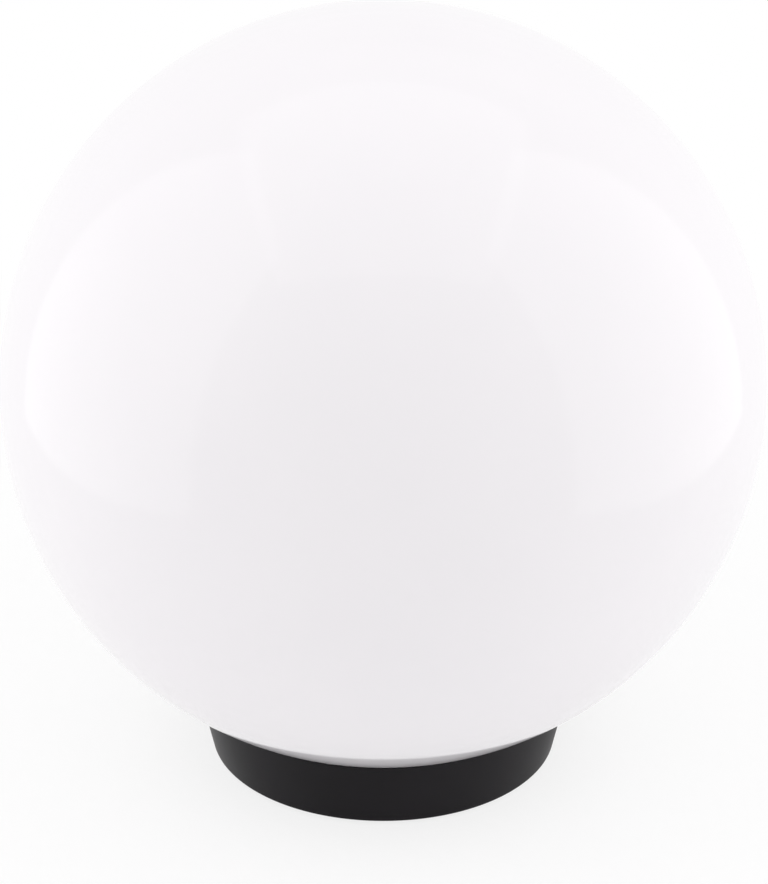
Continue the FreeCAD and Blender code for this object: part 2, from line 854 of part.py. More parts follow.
def contact_strip(points, side):
    # a strip bent in the upright plane through the light's axis and one stud
    corners = [Vector(-contact_width / 2, distance, height) for distance, height in points]
    corners.append(corners[0])
    strip = Part.Face(Part.makePolygon(corners)).extrude(right * contact_width)
    stud_hole = stud_radius + thread_gap
    strip = strip.cut(hole_through(stud_hole, cavity_floor, contact_thickness, 0, stud_distance()))
    strip.rotate(origin, up, -side * math.degrees(math.atan2(pole_offset, stud_row)))
    return strip


def stud_distance():
    return math.hypot(pole_offset, stud_row)


def make_centre_contact():
    thick = contact_thickness
    floor = cavity_floor
    top = bulb_tip - fit_gap
    foot_end = stud_distance() + stud_head_radius
    foot_start = stud_distance() - stud_head_radius
    press = tip_radius / 2
    points = [(foot_end, floor), (foot_end, floor + thick), (foot_start, floor + thick)]
    points += [(press, top), (-press, top), (-press, top - thick), (press, top - thick)]
    points += [(foot_start, floor)]
    return contact_strip(points, 1)


def make_side_contact():
    thick = contact_thickness
    floor = cavity_floor
    top = shell_bottom + contact_room - 2 * thick
    foot_start = stud_distance() - stud_head_radius
    outer = math.sqrt(ledge_radius() ** 2 - (contact_width / 2) ** 2) - slip_gap
    points = [(foot_start, floor), (outer, floor), (outer, top), (outer - thick, top)]
    points += [(outer - thick, floor + thick), (foot_start, floor + thick)]
    return contact_strip(points, -1)


# Bulb, standing on its tip contact
def cap_radius():
    return shell_inner_radius - cap_clearance


def spigot_radius():
    return cap_radius() - cap_wall


def make_bulb_tip_contact():
    low = bulb_tip
    high = bulb_tip + tip_height
    points = [(0, low), (tip_radius - 2 * tip_edge, low), (tip_radius, low + tip_edge)]
    points += [(tip_radius, high), (0, high)]
    return turned(points)


def make_bulb_insulator():
    low = bulb_tip + tip_height
    rim = bulb_tip + cap_start
    inside = spigot_radius() - slip_gap
    points = [(0, low), (tip_radius + slip_gap, low), (inside, rim), (inside, rim + insulator_rim)]
    points += [(0, rim + insulator_rim)]
    return turned(points)


def make_bulb_cap():
    return ring(cap_radius(), spigot_radius(), cap_length, 0, 0, bulb_tip + cap_start)


def diffuser_centre():
    return bulb_tip + bulb_length - bulb_radius


def diffuser_edge():
    # height and outer radius of the seam between housing and diffuser
    height = bulb_tip + diffuser_start
    return height, math.sqrt(bulb_radius**2 - (diffuser_centre() - height) ** 2)


def make_bulb_body():
    cap_top = bulb_tip + cap_start + cap_length
    spigot = spigot_radius() - thread_gap
    seam, seam_radius = diffuser_edge()
    wall = bulb_wall
    shoulder = cap_top + neck_length
    bottom = cap_top - spigot_length
    board = seam - led_board_thickness
    rim = seam_radius - diffuser_wall - slip_gap
    points = [(spigot, bottom), (spigot, cap_top), (neck_radius, cap_top), (neck_radius, shoulder)]
    points += [(seam_radius, board - led_board_thickness), (seam_radius, seam), (rim, seam), (rim, board)]
    points += [(seam_radius - led_board_inset, board), (neck_radius - wall, shoulder)]
    points += [(spigot - wall, cap_top), (spigot - wall, bottom)]
    return turned(points)


def make_bulb_led_board():
    seam, seam_radius = diffuser_edge()
    radius = seam_radius - diffuser_wall - 2 * slip_gap
    return cylinder(radius, led_board_thickness, 0, 0, seam - led_board_thickness)


def make_bulb_diffuser():
    seam, seam_radius = diffuser_edge()
    centre = diffuser_centre()
    inner = bulb_radius - diffuser_wall
    outer_start = Vector(seam_radius, 0, seam)
    outer_middle = Vector(bulb_radius, 0, centre)
    outer_top = Vector(0, 0, centre + bulb_radius)
    inner_top = Vector(0, 0, centre + inner)
    inner_middle = Vector(inner, 0, centre)
    inner_start = Vector(math.sqrt(inner**2 - (centre - seam) ** 2), 0, seam)
    profile = [arc(outer_start, outer_middle, outer_top), line(outer_top, inner_top)]
    profile += [arc(inner_top, inner_middle, inner_start), line(inner_start, outer_start)]
    return turned_edges(profile)


pieces = {
    "globe": make_globe(),
    "globe_gasket": make_globe_gasket(),
    "base_housing": make_base_housing(),
    "base_plate": make_base_plate(),
    "plate_seal": make_plate_seal(),
    "deck_screws": make_deck_screws(),
    "rubber_feet": make_rubber_feet(),
    "gland_body": make_gland_body(),
    "gland_seal": make_gland_seal(),
    "gland_nut": make_gland_nut(),
    "gland_cap": make_gland_cap(),
    "terminal_block": make_terminal_block(),
    "terminal_tubes": make_terminal_tubes(),
    "terminal_screws": make_terminal_screws(),
    "terminal_block_screw": make_terminal_block_screw(),
    "lead_live": make_lead(pole_offset),
    "lead_neutral": make_lead(-pole_offset),
    "wire_grommet": make_wire_grommet(),
    "holder_bracket": make_holder_bracket(),
    "bracket_screws": make_bracket_screws(),
    "holder_body": make_holder_body(),
    "holder_screws": make_holder_screws(),
    "screw_shell": make_screw_shell(),
    "holder_terminals": make_holder_terminals(),
    "holder_terminal_screws": make_holder_terminal_screws(),
    "centre_contact": make_centre_contact(),
    "side_contact": make_side_contact(),
    "bulb_tip_contact": make_bulb_tip_contact(),
    "bulb_insulator": make_bulb_insulator(),
    "bulb_cap": make_bulb_cap(),
    "bulb_body": make_bulb_body(),
    "bulb_led_board": make_bulb_led_board(),
    "bulb_diffuser": make_bulb_diffuser(),
}

for name, shape in pieces.items():
    shape.exportStep("parts/" + name + ".step")
    box = shape.BoundBox
    print(name, len(shape.Solids), "solids", round(shape.Volume), "mm3", "valid", shape.isValid(),
          "z", round(box.ZMin, 2), round(box.ZMax, 2))
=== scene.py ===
import math
import bmesh
import bpy
from mathutils import Matrix, Vector


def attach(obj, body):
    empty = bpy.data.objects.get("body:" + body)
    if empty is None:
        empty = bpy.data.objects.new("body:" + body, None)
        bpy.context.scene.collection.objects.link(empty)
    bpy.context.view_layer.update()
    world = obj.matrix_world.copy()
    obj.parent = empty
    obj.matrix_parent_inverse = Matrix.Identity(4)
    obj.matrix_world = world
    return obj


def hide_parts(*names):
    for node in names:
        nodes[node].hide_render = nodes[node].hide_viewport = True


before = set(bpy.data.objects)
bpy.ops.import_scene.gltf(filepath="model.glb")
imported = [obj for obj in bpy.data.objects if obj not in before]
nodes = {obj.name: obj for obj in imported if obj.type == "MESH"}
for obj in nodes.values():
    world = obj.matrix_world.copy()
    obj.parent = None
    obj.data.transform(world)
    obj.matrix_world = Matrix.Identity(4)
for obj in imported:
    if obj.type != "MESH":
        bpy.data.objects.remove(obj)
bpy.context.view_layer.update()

scene = bpy.context.scene
mm = 0.001
fullTurn = 2 * math.pi
sliver = 0.000003
layAlongY = Matrix.Rotation(-math.pi / 2, 3, "X")
dustColor = (0.42, 0.40, 0.37)
toneScale = 14
print("frame loaded,", len(nodes), "nodes")


# shared shader groups
def newGroup(name, inputs, outputs):
    group = bpy.data.node_groups.new(name, "ShaderNodeTree")
    for label, kind, value in inputs:
        socket = group.interface.new_socket(label, in_out="INPUT", socket_type=kind)
        if value is not None:
            socket.default_value = value
    for label, kind in outputs:
        group.interface.new_socket(label, in_out="OUTPUT", socket_type=kind)
    start = group.nodes.new("NodeGroupInput")
    end = group.nodes.new("NodeGroupOutput")
    return group, start, end


def addNode(tree, kind, **values):
    node = tree.nodes.new(kind)
    for key, value in values.items():
        if hasattr(node, key):
            setattr(node, key, value)
        else:
            node.inputs[key.replace("_", " ")].default_value = value
    return node


def mathNode(tree, operation, first, second, clamp=False):
    node = addNode(tree, "ShaderNodeMath", operation=operation, use_clamp=clamp)
    tree.links.new(first, node.inputs[0])
    tree.links.new(second, node.inputs[1])
    return node.outputs["Value"]


def buildGrain():
    # fine moulded or cast grain, as a height and as a mask of broad tone
    group, start, end = newGroup(
        "surfaceGrain",
        [("Vector", "NodeSocketVector", None), ("Grain Scale", "NodeSocketFloat", 900.0),
         ("Tone Scale", "NodeSocketFloat", 12.0)],
        [("Height", "NodeSocketFloat"), ("Tone", "NodeSocketFloat")])
    fine = addNode(group, "ShaderNodeTexNoise", Detail=3.0, Roughness=0.6)
    broad = addNode(group, "ShaderNodeTexNoise", Detail=4.0, Roughness=0.55)
    spread = addNode(group, "ShaderNodeMapRange", From_Min=0.3, From_Max=0.7)
    link = group.links.new
    link(start.outputs["Vector"], fine.inputs["Vector"])
    link(start.outputs["Vector"], broad.inputs["Vector"])
    link(start.outputs["Grain Scale"], fine.inputs["Scale"])
    link(start.outputs["Tone Scale"], broad.inputs["Scale"])
    link(broad.outputs["Fac"], spread.inputs["Value"])
    link(fine.outputs["Fac"], end.inputs["Height"])
    link(spread.outputs["Result"], end.inputs["Tone"])
    return group


def buildEdgeWear():
    # a mask that is strong on convex edges, broken up by noise
    group, start, end = newGroup(
        "edgeWear",
        [("Vector", "NodeSocketVector", None), ("Amount", "NodeSocketFloat", 0.5)],
        [("Mask", "NodeSocketFloat")])
    geometry = addNode(group, "ShaderNodeNewGeometry")
    edge = addNode(group, "ShaderNodeMapRange", From_Min=0.56, From_Max=0.68)
    noise = addNode(group, "ShaderNodeTexNoise", Scale=260.0, Detail=3.0)
    link = group.links.new
    link(geometry.outputs["Pointiness"], edge.inputs["Value"])
    link(start.outputs["Vector"], noise.inputs["Vector"])
    broken = mathNode(group, "MULTIPLY", edge.outputs["Result"], noise.outputs["Fac"])
    scaled = mathNode(group, "MULTIPLY", broken, start.outputs["Amount"], clamp=True)
    link(scaled, end.inputs["Mask"])
    return group


def buildDust():
    # thin dust that lies on faces turned upwards
    group, start, end = newGroup(
        "dustFilm",
        [("Vector", "NodeSocketVector", None), ("Amount", "NodeSocketFloat", 0.2)],
        [("Mask", "NodeSocketFloat")])
    geometry = addNode(group, "ShaderNodeNewGeometry")
    split = addNode(group, "ShaderNodeSeparateXYZ")
    upward = addNode(group, "ShaderNodeMapRange", From_Min=0.35, From_Max=1.0)
    noise = addNode(group, "ShaderNodeTexNoise", Scale=70.0, Detail=6.0, Roughness=0.65)
    link = group.links.new
    link(geometry.outputs["Normal"], split.inputs["Vector"])
    link(split.outputs["Z"], upward.inputs["Value"])
    link(start.outputs["Vector"], noise.inputs["Vector"])
    patchy = mathNode(group, "MULTIPLY", upward.outputs["Result"], noise.outputs["Fac"])
    scaled = mathNode(group, "MULTIPLY", patchy, start.outputs["Amount"], clamp=True)
    link(scaled, end.inputs["Mask"])
    return group


grainGroup = buildGrain()
wearGroup = buildEdgeWear()
dustGroup = buildDust()

# Each finish: two tones that drift into each other, roughness from low to high, grain size per metre,
# grain depth in millimetres, worn edge tone and dust. "plain" values go on the shader's own sockets.
finishes = {
    "opalAcrylic": {"tones": [(0.908, 0.884, 0.908), (0.893, 0.87, 0.895)], "rough": (0.085, 0.105),
                    "grain": 60, "depth": 0.004, "plain": {"IOR": 1.49}},
    "anthraciteFoot": {"tones": [(0.0108, 0.0098, 0.0112), (0.0145, 0.0131, 0.0152)], "rough": (0.36, 0.46),
                       "grain": 1500, "depth": 0.02, "wear": (0.16, 0.155, 0.16), "wearAmount": 0.5,
                       "dust": 0.04, "plain": {"Specular IOR Level": 0.08}},
    "blackPlate": {"tones": [(0.026, 0.026, 0.028), (0.036, 0.036, 0.038)], "rough": (0.5, 0.62),
                   "grain": 1100, "depth": 0.03, "wear": (0.12, 0.12, 0.12), "wearAmount": 0.5, "dust": 0.1},
    "blackRubber": {"tones": [(0.018, 0.018, 0.018), (0.03, 0.03, 0.03)], "rough": (0.72, 0.86),
                    "grain": 1900, "depth": 0.03, "dust": 0.25},
    "glandNylon": {"tones": [(0.016, 0.016, 0.0165), (0.023, 0.023, 0.024)], "rough": (0.36, 0.48),
                   "grain": 1300, "depth": 0.02, "wear": (0.14, 0.14, 0.14), "wearAmount": 0.6, "dust": 0.1},
    "terminalNylon": {"tones": [(0.80, 0.80, 0.76), (0.74, 0.74, 0.69)], "rough": (0.38, 0.5),
                      "grain": 500, "depth": 0.01},
    "brassTurned": {"tones": [(0.80, 0.60, 0.28), (0.72, 0.51, 0.22)], "rough": (0.2, 0.34),
                    "grain": 900, "depth": 0.006, "plain": {"Metallic": 1.0}},
    "zincSteel": {"tones": [(0.62, 0.63, 0.65), (0.52, 0.54, 0.57)], "rough": (0.28, 0.44),
                  "grain": 700, "depth": 0.006, "plain": {"Metallic": 1.0}},
    "glazedPorcelain": {"tones": [(0.87, 0.865, 0.84), (0.84, 0.832, 0.80)], "rough": (0.07, 0.13),
                        "grain": 90, "depth": 0.02, "plain": {"IOR": 1.52, "Coat Weight": 0.4}},
    "nickelShell": {"tones": [(0.74, 0.71, 0.66), (0.66, 0.63, 0.58)], "rough": (0.16, 0.28),
                    "grain": 600, "depth": 0.006, "plain": {"Metallic": 1.0}},
    "bronzeStrip": {"tones": [(0.72, 0.48, 0.26), (0.62, 0.38, 0.2)], "rough": (0.22, 0.36),
                    "grain": 800, "depth": 0.006, "plain": {"Metallic": 1.0}},
    "brownLead": {"tones": [(0.17, 0.07, 0.03), (0.14, 0.055, 0.024)], "rough": (0.4, 0.5),
                  "grain": 900, "depth": 0.01},
    "blueLead": {"tones": [(0.03, 0.12, 0.42), (0.025, 0.10, 0.36)], "rough": (0.4, 0.5),
                 "grain": 900, "depth": 0.01},
    "whiteHeatsink": {"tones": [(0.84, 0.84, 0.835), (0.81, 0.81, 0.80)], "rough": (0.3, 0.38),
                      "grain": 900, "depth": 0.01},
    "frostedDome": {"tones": [(0.90, 0.90, 0.895), (0.88, 0.88, 0.872)], "rough": (0.42, 0.5),
                    "grain": 1500, "depth": 0.006},
    "blackGlass": {"tones": [(0.02, 0.02, 0.025), (0.03, 0.028, 0.03)], "rough": (0.08, 0.14),
                   "grain": 300, "depth": 0.02},
    "nickelCap": {"tones": [(0.76, 0.755, 0.74), (0.68, 0.672, 0.655)], "rough": (0.14, 0.24),
                  "grain": 600, "depth": 0.006, "wear": (0.85, 0.84, 0.82), "wearAmount": 0.4,
                  "plain": {"Metallic": 1.0}},
    "solderMask": {"tones": [(0.86, 0.86, 0.85), (0.83, 0.83, 0.82)], "rough": (0.35, 0.45),
                   "grain": 500, "depth": 0.006},
    "tinSolder": {"tones": [(0.64, 0.64, 0.63), (0.55, 0.55, 0.54)], "rough": (0.25, 0.4),
                  "grain": 500, "depth": 0.02, "plain": {"Metallic": 1.0}},
}


def colorSockets(sockets):
    return [socket for socket in sockets if socket.type == "RGBA"]


def layer(tree, under, color, mask):
    mix = addNode(tree, "ShaderNodeMix", data_type="RGBA")
    first, second = colorSockets(mix.inputs)
    second.default_value = (*color, 1)
    tree.links.new(under, first)
    tree.links.new(mask, mix.inputs["Factor"])
    return colorSockets(mix.outputs)[0]


def makeFinish(name, look):
    material = bpy.data.materials.new(name)
    material.use_nodes = True
    tree = material.node_tree
    link = tree.links.new
    shader = tree.nodes["Principled BSDF"]
    for key, value in look.get("plain", {}).items():
        shader.inputs[key].default_value = value
    place = addNode(tree, "ShaderNodeTexCoord")
    grain = addNode(tree, "ShaderNodeGroup", node_tree=grainGroup)
    grain.inputs["Grain Scale"].default_value = look["grain"]
    grain.inputs["Tone Scale"].default_value = toneScale
    link(place.outputs["Object"], grain.inputs["Vector"])
    tone = addNode(tree, "ShaderNodeMix", data_type="RGBA")
    colorA, colorB = colorSockets(tone.inputs)
    colorA.default_value = (*look["tones"][0], 1)
    colorB.default_value = (*look["tones"][1], 1)
    link(grain.outputs["Tone"], tone.inputs["Factor"])
    colorOut = colorSockets(tone.outputs)[0]
    low, high = look["rough"]
    roughness = addNode(tree, "ShaderNodeMapRange", To_Min=low, To_Max=high)
    link(grain.outputs["Tone"], roughness.inputs["Value"])
    roughOut = roughness.outputs["Result"]
    if "wear" in look:
        wear = addNode(tree, "ShaderNodeGroup", node_tree=wearGroup)
        wear.inputs["Amount"].default_value = look["wearAmount"]
        link(place.outputs["Object"], wear.inputs["Vector"])
        colorOut = layer(tree, colorOut, look["wear"], wear.outputs["Mask"])
    if "dust" in look:
        dust = addNode(tree, "ShaderNodeGroup", node_tree=dustGroup)
        dust.inputs["Amount"].default_value = look["dust"]
        link(place.outputs["Object"], dust.inputs["Vector"])
        colorOut = layer(tree, colorOut, dustColor, dust.outputs["Mask"])
        roughOut = mathNode(tree, "ADD", roughOut, dust.outputs["Mask"], clamp=True)
    bump = addNode(tree, "ShaderNodeBump", Strength=1.0, Distance=look["depth"] * mm)
    link(grain.outputs["Height"], bump.inputs["Height"])
    link(bump.outputs["Normal"], shader.inputs["Normal"])
    link(colorOut, shader.inputs["Base Color"])
    link(roughOut, shader.inputs["Roughness"])
    return material


finish = {name: makeFinish(name, look) for name, look in finishes.items()}
print("finishes made,", len(finish))


# shared modelling steps
def arcPoints(centerHeight, radius, startDeg, endDeg, count):
    points = []
    for number in range(count + 1):
        angle = math.radians(startDeg + (endDeg - startDeg) * number / count)
        points.append((radius * math.cos(angle), centerHeight + radius * math.sin(angle)))
    return points


def turnProfile(bm, points, steps, closed=False, x=0, y=0):
    # spins a profile of radius and height, in millimetres, round an upright line
    verts = [bm.verts.new((x * mm + radius * mm, y * mm, height * mm)) for radius, height in points]
    pairs = list(zip(verts, verts[1:]))
    if closed:
        pairs.append((verts[-1], verts[0]))
    edges = [bm.edges.new(pair) for pair in pairs]
    bmesh.ops.spin(bm, geom=verts + edges, cent=(x * mm, y * mm, 0), axis=(0, 0, 1), dvec=(0, 0, 0),
                   angle=fullTurn, steps=steps, use_merge=True, use_normal_flip=False, use_duplicate=False)


def mergeAndFaceOut(bm, distance=0.00001):
    bmesh.ops.remove_doubles(bm, verts=bm.verts[:], dist=distance)
    stray = [edge for edge in bm.edges if not edge.link_faces]
    bmesh.ops.delete(bm, geom=stray, context="EDGES")
    bmesh.ops.recalc_face_normals(bm, faces=bm.faces[:])


def roundEdges(bm, width, segments, minDeg, accept=None):
    sharp = []
    for edge in bm.edges:
        if len(edge.link_faces) == 2 and edge.calc_face_angle(0) > math.radians(minDeg):
            if accept is None or accept(edge):
                sharp.append(edge)
    bmesh.ops.bevel(bm, geom=sharp, offset=width * mm, offset_type="OFFSET", affect="EDGES",
                    segments=segments, profile=0.5, material=-1, clamp_overlap=True)


def turnZ(degrees):
    return Matrix.Rotation(math.radians(degrees), 3, "Z")


def turnAll(bm, verts, matrix):
    bmesh.ops.rotate(bm, verts=verts, cent=(0, 0, 0), matrix=matrix)


def aroundAxis(radius, count, firstDeg):
    places = []
    for number in range(count):
        angle = math.radians(firstDeg + number * 360 / count)
        places.append((radius * math.cos(angle), radius * math.sin(angle)))
    return places


def addRod(bm, radius, start, length, along, segments=48):
    # a round rod from its start along Y or Z
    made = bmesh.ops.create_cone(bm, cap_ends=True, cap_tris=False, segments=segments, radius1=radius * mm,
                                 radius2=radius * mm, depth=length * mm)["verts"]
    bmesh.ops.translate(bm, verts=made, vec=(0, 0, length / 2 * mm))
    if along == "Y":
        turnAll(bm, made, layAlongY)
    bmesh.ops.translate(bm, verts=made, vec=[value * mm for value in start])


def addBlock(bm, size, center):
    made = bmesh.ops.create_cube(bm, size=1)["verts"]
    bmesh.ops.scale(bm, verts=made, vec=[value * mm for value in size])
    bmesh.ops.translate(bm, verts=made, vec=[value * mm for value in center])


def addStepped(bm, points, z):
    # a stepped round shape that lies along Y, from radii and lengths
    before = set(bm.verts)
    turnProfile(bm, points, 96)
    made = [vert for vert in bm.verts if vert not in before]
    turnAll(bm, made, layAlongY)
    bmesh.ops.translate(bm, verts=made, vec=(0, 0, z * mm))


def between(first, last, count):
    # points that split a straight line of the profile into even lengths
    return [(first[0] + (last[0] - first[0]) * step / count, first[1] + (last[1] - first[1]) * step / count)
            for step in range(1, count)]


def threadedTube(bm, low, high, rows, steps, radiusAt, closeLow=False):
    # an upright tube whose radius depends on height and on the share of a turn
    points = [(1, low + (high - low) * row / rows) for row in range(rows + 1)]
    before = set(bm.verts)
    turnProfile(bm, points, steps)
    made = [vert for vert in bm.verts if vert not in before]
    for vert in made:
        turn = math.atan2(vert.co.y, vert.co.x) / fullTurn
        radius = radiusAt(vert.co.z / mm, turn)
        vert.co.x *= radius
        vert.co.y *= radius
    if closeLow:
        lowest = {vert for vert in made if vert.co.z / mm < low + 0.001}
        rim = [edge for edge in bm.edges if edge.is_boundary and lowest.issuperset(edge.verts)]
        bmesh.ops.edgeloop_fill(bm, edges=rim)


def toObject(name, bm, material, smoothDeg=40):
    mesh = bpy.data.meshes.new(name)
    bm.to_mesh(mesh)
    bm.free()
    mesh.materials.append(material)
    mesh.shade_smooth()
    mesh.set_sharp_from_angle(angle=math.radians(smoothDeg))
    piece = bpy.data.objects.new(name, mesh)
    scene.collection.objects.link(piece)
    return piece


def turnedPiece(name, points, steps, closed, look, smoothDeg):
    bm = bmesh.new()
    turnProfile(bm, points, steps, closed)
    mergeAndFaceOut(bm)
    return toObject(name, bm, finish[look], smoothDeg)


def settle(piece, body, slotName, *replaced):
    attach(piece, body)
    if replaced:
        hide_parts(*replaced)


def cutAway(piece, cutterMesh, crossing=False):
    # subtracts a temporary shape, whose parts may cross, and keeps the result as the piece's own mesh
    cutter = bpy.data.objects.new("cutter", cutterMesh)
    scene.collection.objects.link(cutter)
    cut = piece.modifiers.new("cut", "BOOLEAN")
    cut.operation = "DIFFERENCE"
    cut.solver = "EXACT"
    cut.use_self = crossing
    cut.object = cutter
    bpy.context.view_layer.update()
    evaluated = piece.evaluated_get(bpy.context.evaluated_depsgraph_get())
    mesh = bpy.data.meshes.new_from_object(evaluated)
    bm = bmesh.new()
    bm.from_mesh(mesh)
    bmesh.ops.triangulate(bm, faces=[face for face in bm.faces if len(face.verts) > 4])
    bmesh.ops.remove_doubles(bm, verts=bm.verts[:], dist=sliver)
    bmesh.ops.dissolve_degenerate(bm, edges=bm.edges[:], dist=sliver)
    bm.to_mesh(mesh)
    bm.free()
    piece.modifiers.clear()
    old = piece.data
    piece.data = mesh
    bpy.data.meshes.remove(old)
    bpy.data.objects.remove(cutter)


def toMesh(bm):
    mesh = bpy.data.meshes.new("cutter")
    bm.to_mesh(mesh)
    bm.free()
    return mesh


def reshade(piece, smoothDeg):
    piece.data.shade_smooth()
    piece.data.set_sharp_from_angle(angle=math.radians(smoothDeg))
    evenShading(piece)


def evenShading(piece):
    # broad flat faces keep their own normal and the rounding takes the turn
    even = piece.modifiers.new("evenShading", "WEIGHTED_NORMAL")
    even.mode = "FACE_AREA"
    even.weight = 50
    even.keep_sharp = True
    return piece


def sectorBlock(bm, inner, outer, low, high, middleDeg, widthDeg, steps):
    # a block bent round the light's axis
    corners = [(inner, low), (outer, low), (outer, high), (inner, high)]
    verts = [bm.verts.new((radius * mm, 0, height * mm)) for radius, height in corners]
    face = bm.faces.new(verts)
    turnAll(bm, verts, turnZ(middleDeg - widthDeg / 2))
    bmesh.ops.spin(bm, geom=[face] + face.edges[:] + verts, cent=(0, 0, 0), axis=(0, 0, 1), dvec=(0, 0, 0),
                   angle=math.radians(widthDeg), steps=steps, use_merge=False, use_normal_flip=False,
                   use_duplicate=False)


def cadCopy(name, node, material):
    # the node's own shape, merged and smoothed
    bm = bmesh.new()
    bm.from_mesh(nodes[node].data)
    bmesh.ops.remove_doubles(bm, verts=bm.verts[:], dist=0.002 * mm)
    bmesh.ops.dissolve_limit(bm, angle_limit=math.radians(0.5), use_dissolve_boundaries=False,
                             verts=bm.verts[:], edges=bm.edges[:], delimit={"NORMAL"})
    return evenShading(toObject(name, bm, material, 32))


# globe
globeShape = {
    "radius": 150.0, "wall": 3.0, "centerHeight": 160.0, "mouthRadius": 50.0, "flangeLow": 23.6,
    "flangeHigh": 26.6, "fillet": [(0.9, 0.55), (2.2, 0.1), (3.4, 0)], "filletDeg": 1.2, "rows": 110,
    "steps": 360, "notchRadius": 56.0, "notchHalfDeg": 13, "notchCount": 3, "notchMargin": 0.6,
    "notchTurnDeg": 0.8, "lipRound": 0.5, "stopOuter": 55.0, "stopTop": 30.6, "stopWidthDeg": 3.2,
    "stopGap": 0.02, "stopSink": 0.3, "stopSteps": 4, "farStopDeg": -43.0, "nearStopDeg": 15.0,
}


def makeGlobe(shape):
    center, outer, mouth = shape["centerHeight"], shape["radius"], shape["mouthRadius"]
    low, high, rim = shape["flangeLow"], shape["flangeHigh"], shape["lipRound"]
    inner = outer - shape["wall"]
    cutDeg = -math.degrees(math.asin((center - low) / outer))
    innerDeg = -math.degrees(math.asin((center - high) / inner))
    innerEdge = math.sqrt(inner**2 - (center - high) ** 2)
    notchFloor = shape["notchRadius"] + shape["notchMargin"]
    points = arcPoints(center, outer, cutDeg, 90, shape["rows"])
    points += arcPoints(center, inner, 90, innerDeg + shape["filletDeg"], shape["rows"])
    points += [(innerEdge - inward, high + rise) for inward, rise in shape["fillet"]]
    points += [(notchFloor, high), (mouth + rim, high), (mouth, high - rim), (mouth, low + rim)]
    points += [(mouth + rim, low), (notchFloor, low)]
    bm = bmesh.new()
    turnProfile(bm, points, shape["steps"], closed=True)
    mergeAndFaceOut(bm)
    openNotches(bm, shape)
    for number in range(shape["notchCount"]):
        for offset in (shape["farStopDeg"], shape["nearStopDeg"]):
            middle = number * 360 / shape["notchCount"] + offset
            sectorBlock(bm, mouth + shape["stopGap"], shape["stopOuter"], high - shape["stopSink"],
                        shape["stopTop"], middle, shape["stopWidthDeg"], shape["stopSteps"])
    bmesh.ops.recalc_face_normals(bm, faces=bm.faces[:])
    return toObject("opalGlobe", bm, finish["opalAcrylic"], 35)


def openNotches(bm, shape):
    # lip corners inside a notch move out to its floor, and those beside it close up to its sides
    reach = shape["notchRadius"] - shape["mouthRadius"]
    lip = shape["mouthRadius"] + shape["lipRound"] + 0.1
    top = shape["flangeHigh"] + 0.1
    insideDeg = shape["notchHalfDeg"] + 0.01
    besideDeg = insideDeg + 360 / shape["steps"]
    sectorDeg = 360 / shape["notchCount"]
    for vert in bm.verts:
        radius = math.hypot(vert.co.x, vert.co.y) / mm
        if radius > lip or vert.co.z / mm > top:
            continue
        angle = math.degrees(math.atan2(vert.co.y, vert.co.x))
        offset = (angle + sectorDeg / 2) % sectorDeg - sectorDeg / 2
        if abs(offset) < insideDeg:
            scaled = (radius + reach) / radius
            vert.co.x *= scaled
            vert.co.y *= scaled
        elif abs(offset) < besideDeg:
            vert.co = turnZ(-math.copysign(shape["notchTurnDeg"], offset)) @ vert.co


settle(makeGlobe(globeShape), "globe", "opal", "globe")
print("globe made")


# foot: skirt, deck and bayonet collar
footShape = {
    "bottomRadius": 68.5, "seatRadius": 75.0, "wall": 2.5, "bottom": 1.5, "rimOuterHeight": 29.75,
    "rimInnerHeight": 28.48, "deckLow": 19.6, "deckHigh": 21.6, "grooveOuter": 61.7, "grooveInner": 56.8,
    "grooveFloor": 21.0, "collarOuter": 49.5, "collarInner": 46.5, "collarTop": 30.1, "plateTop": 5.0,
    "skirtRings": 14, "deckRings": 22, "ceilingRings": 26, "innerRings": 8, "steps": 256, "outerRound": 0.9,
    "edgeRound": 0.35, "lugOuter": 55.0, "lugLow": 27.1, "lugWidthDeg": 22.0, "lugCount": 3, "lugSink": 0.4,
    "glandSeat": 69.36, "glandFaceRadius": 8.38, "glandAxis": 12.3, "glandBoreRadius": 6.05,
    "glandCutStart": 60, "glandCutPast": 20, "glandPadSize": (18.16, 2.5, 14.6), "glandPadY": 67.1,
    "wireHoleRadius": 8.0, "wireRow": 14.5, "screwCircle": 40.0, "screwCount": 4, "screwFirstDeg": 45,
    "screwHoleRadius": 2.25, "bracketScrewX": 29.0, "bracketHoleRadius": 2.0, "holeBelow": 3, "holeLength": 9,
    "gussetCount": 12, "gussetReach": 11, "gussetDrop": 7, "gussetHalf": 0.8, "gussetFirstDeg": 15,
    "bossRadius": 4.4, "bossBore": 2, "bossDrop": 8, "bossBoreDrop": 7.2, "insideSink": 0.4,
}


def skirtRadius(height, shape):
    share = (height - shape["bottom"]) / (shape["rimOuterHeight"] - shape["bottom"])
    return shape["bottomRadius"] + share * (shape["seatRadius"] - shape["bottomRadius"])


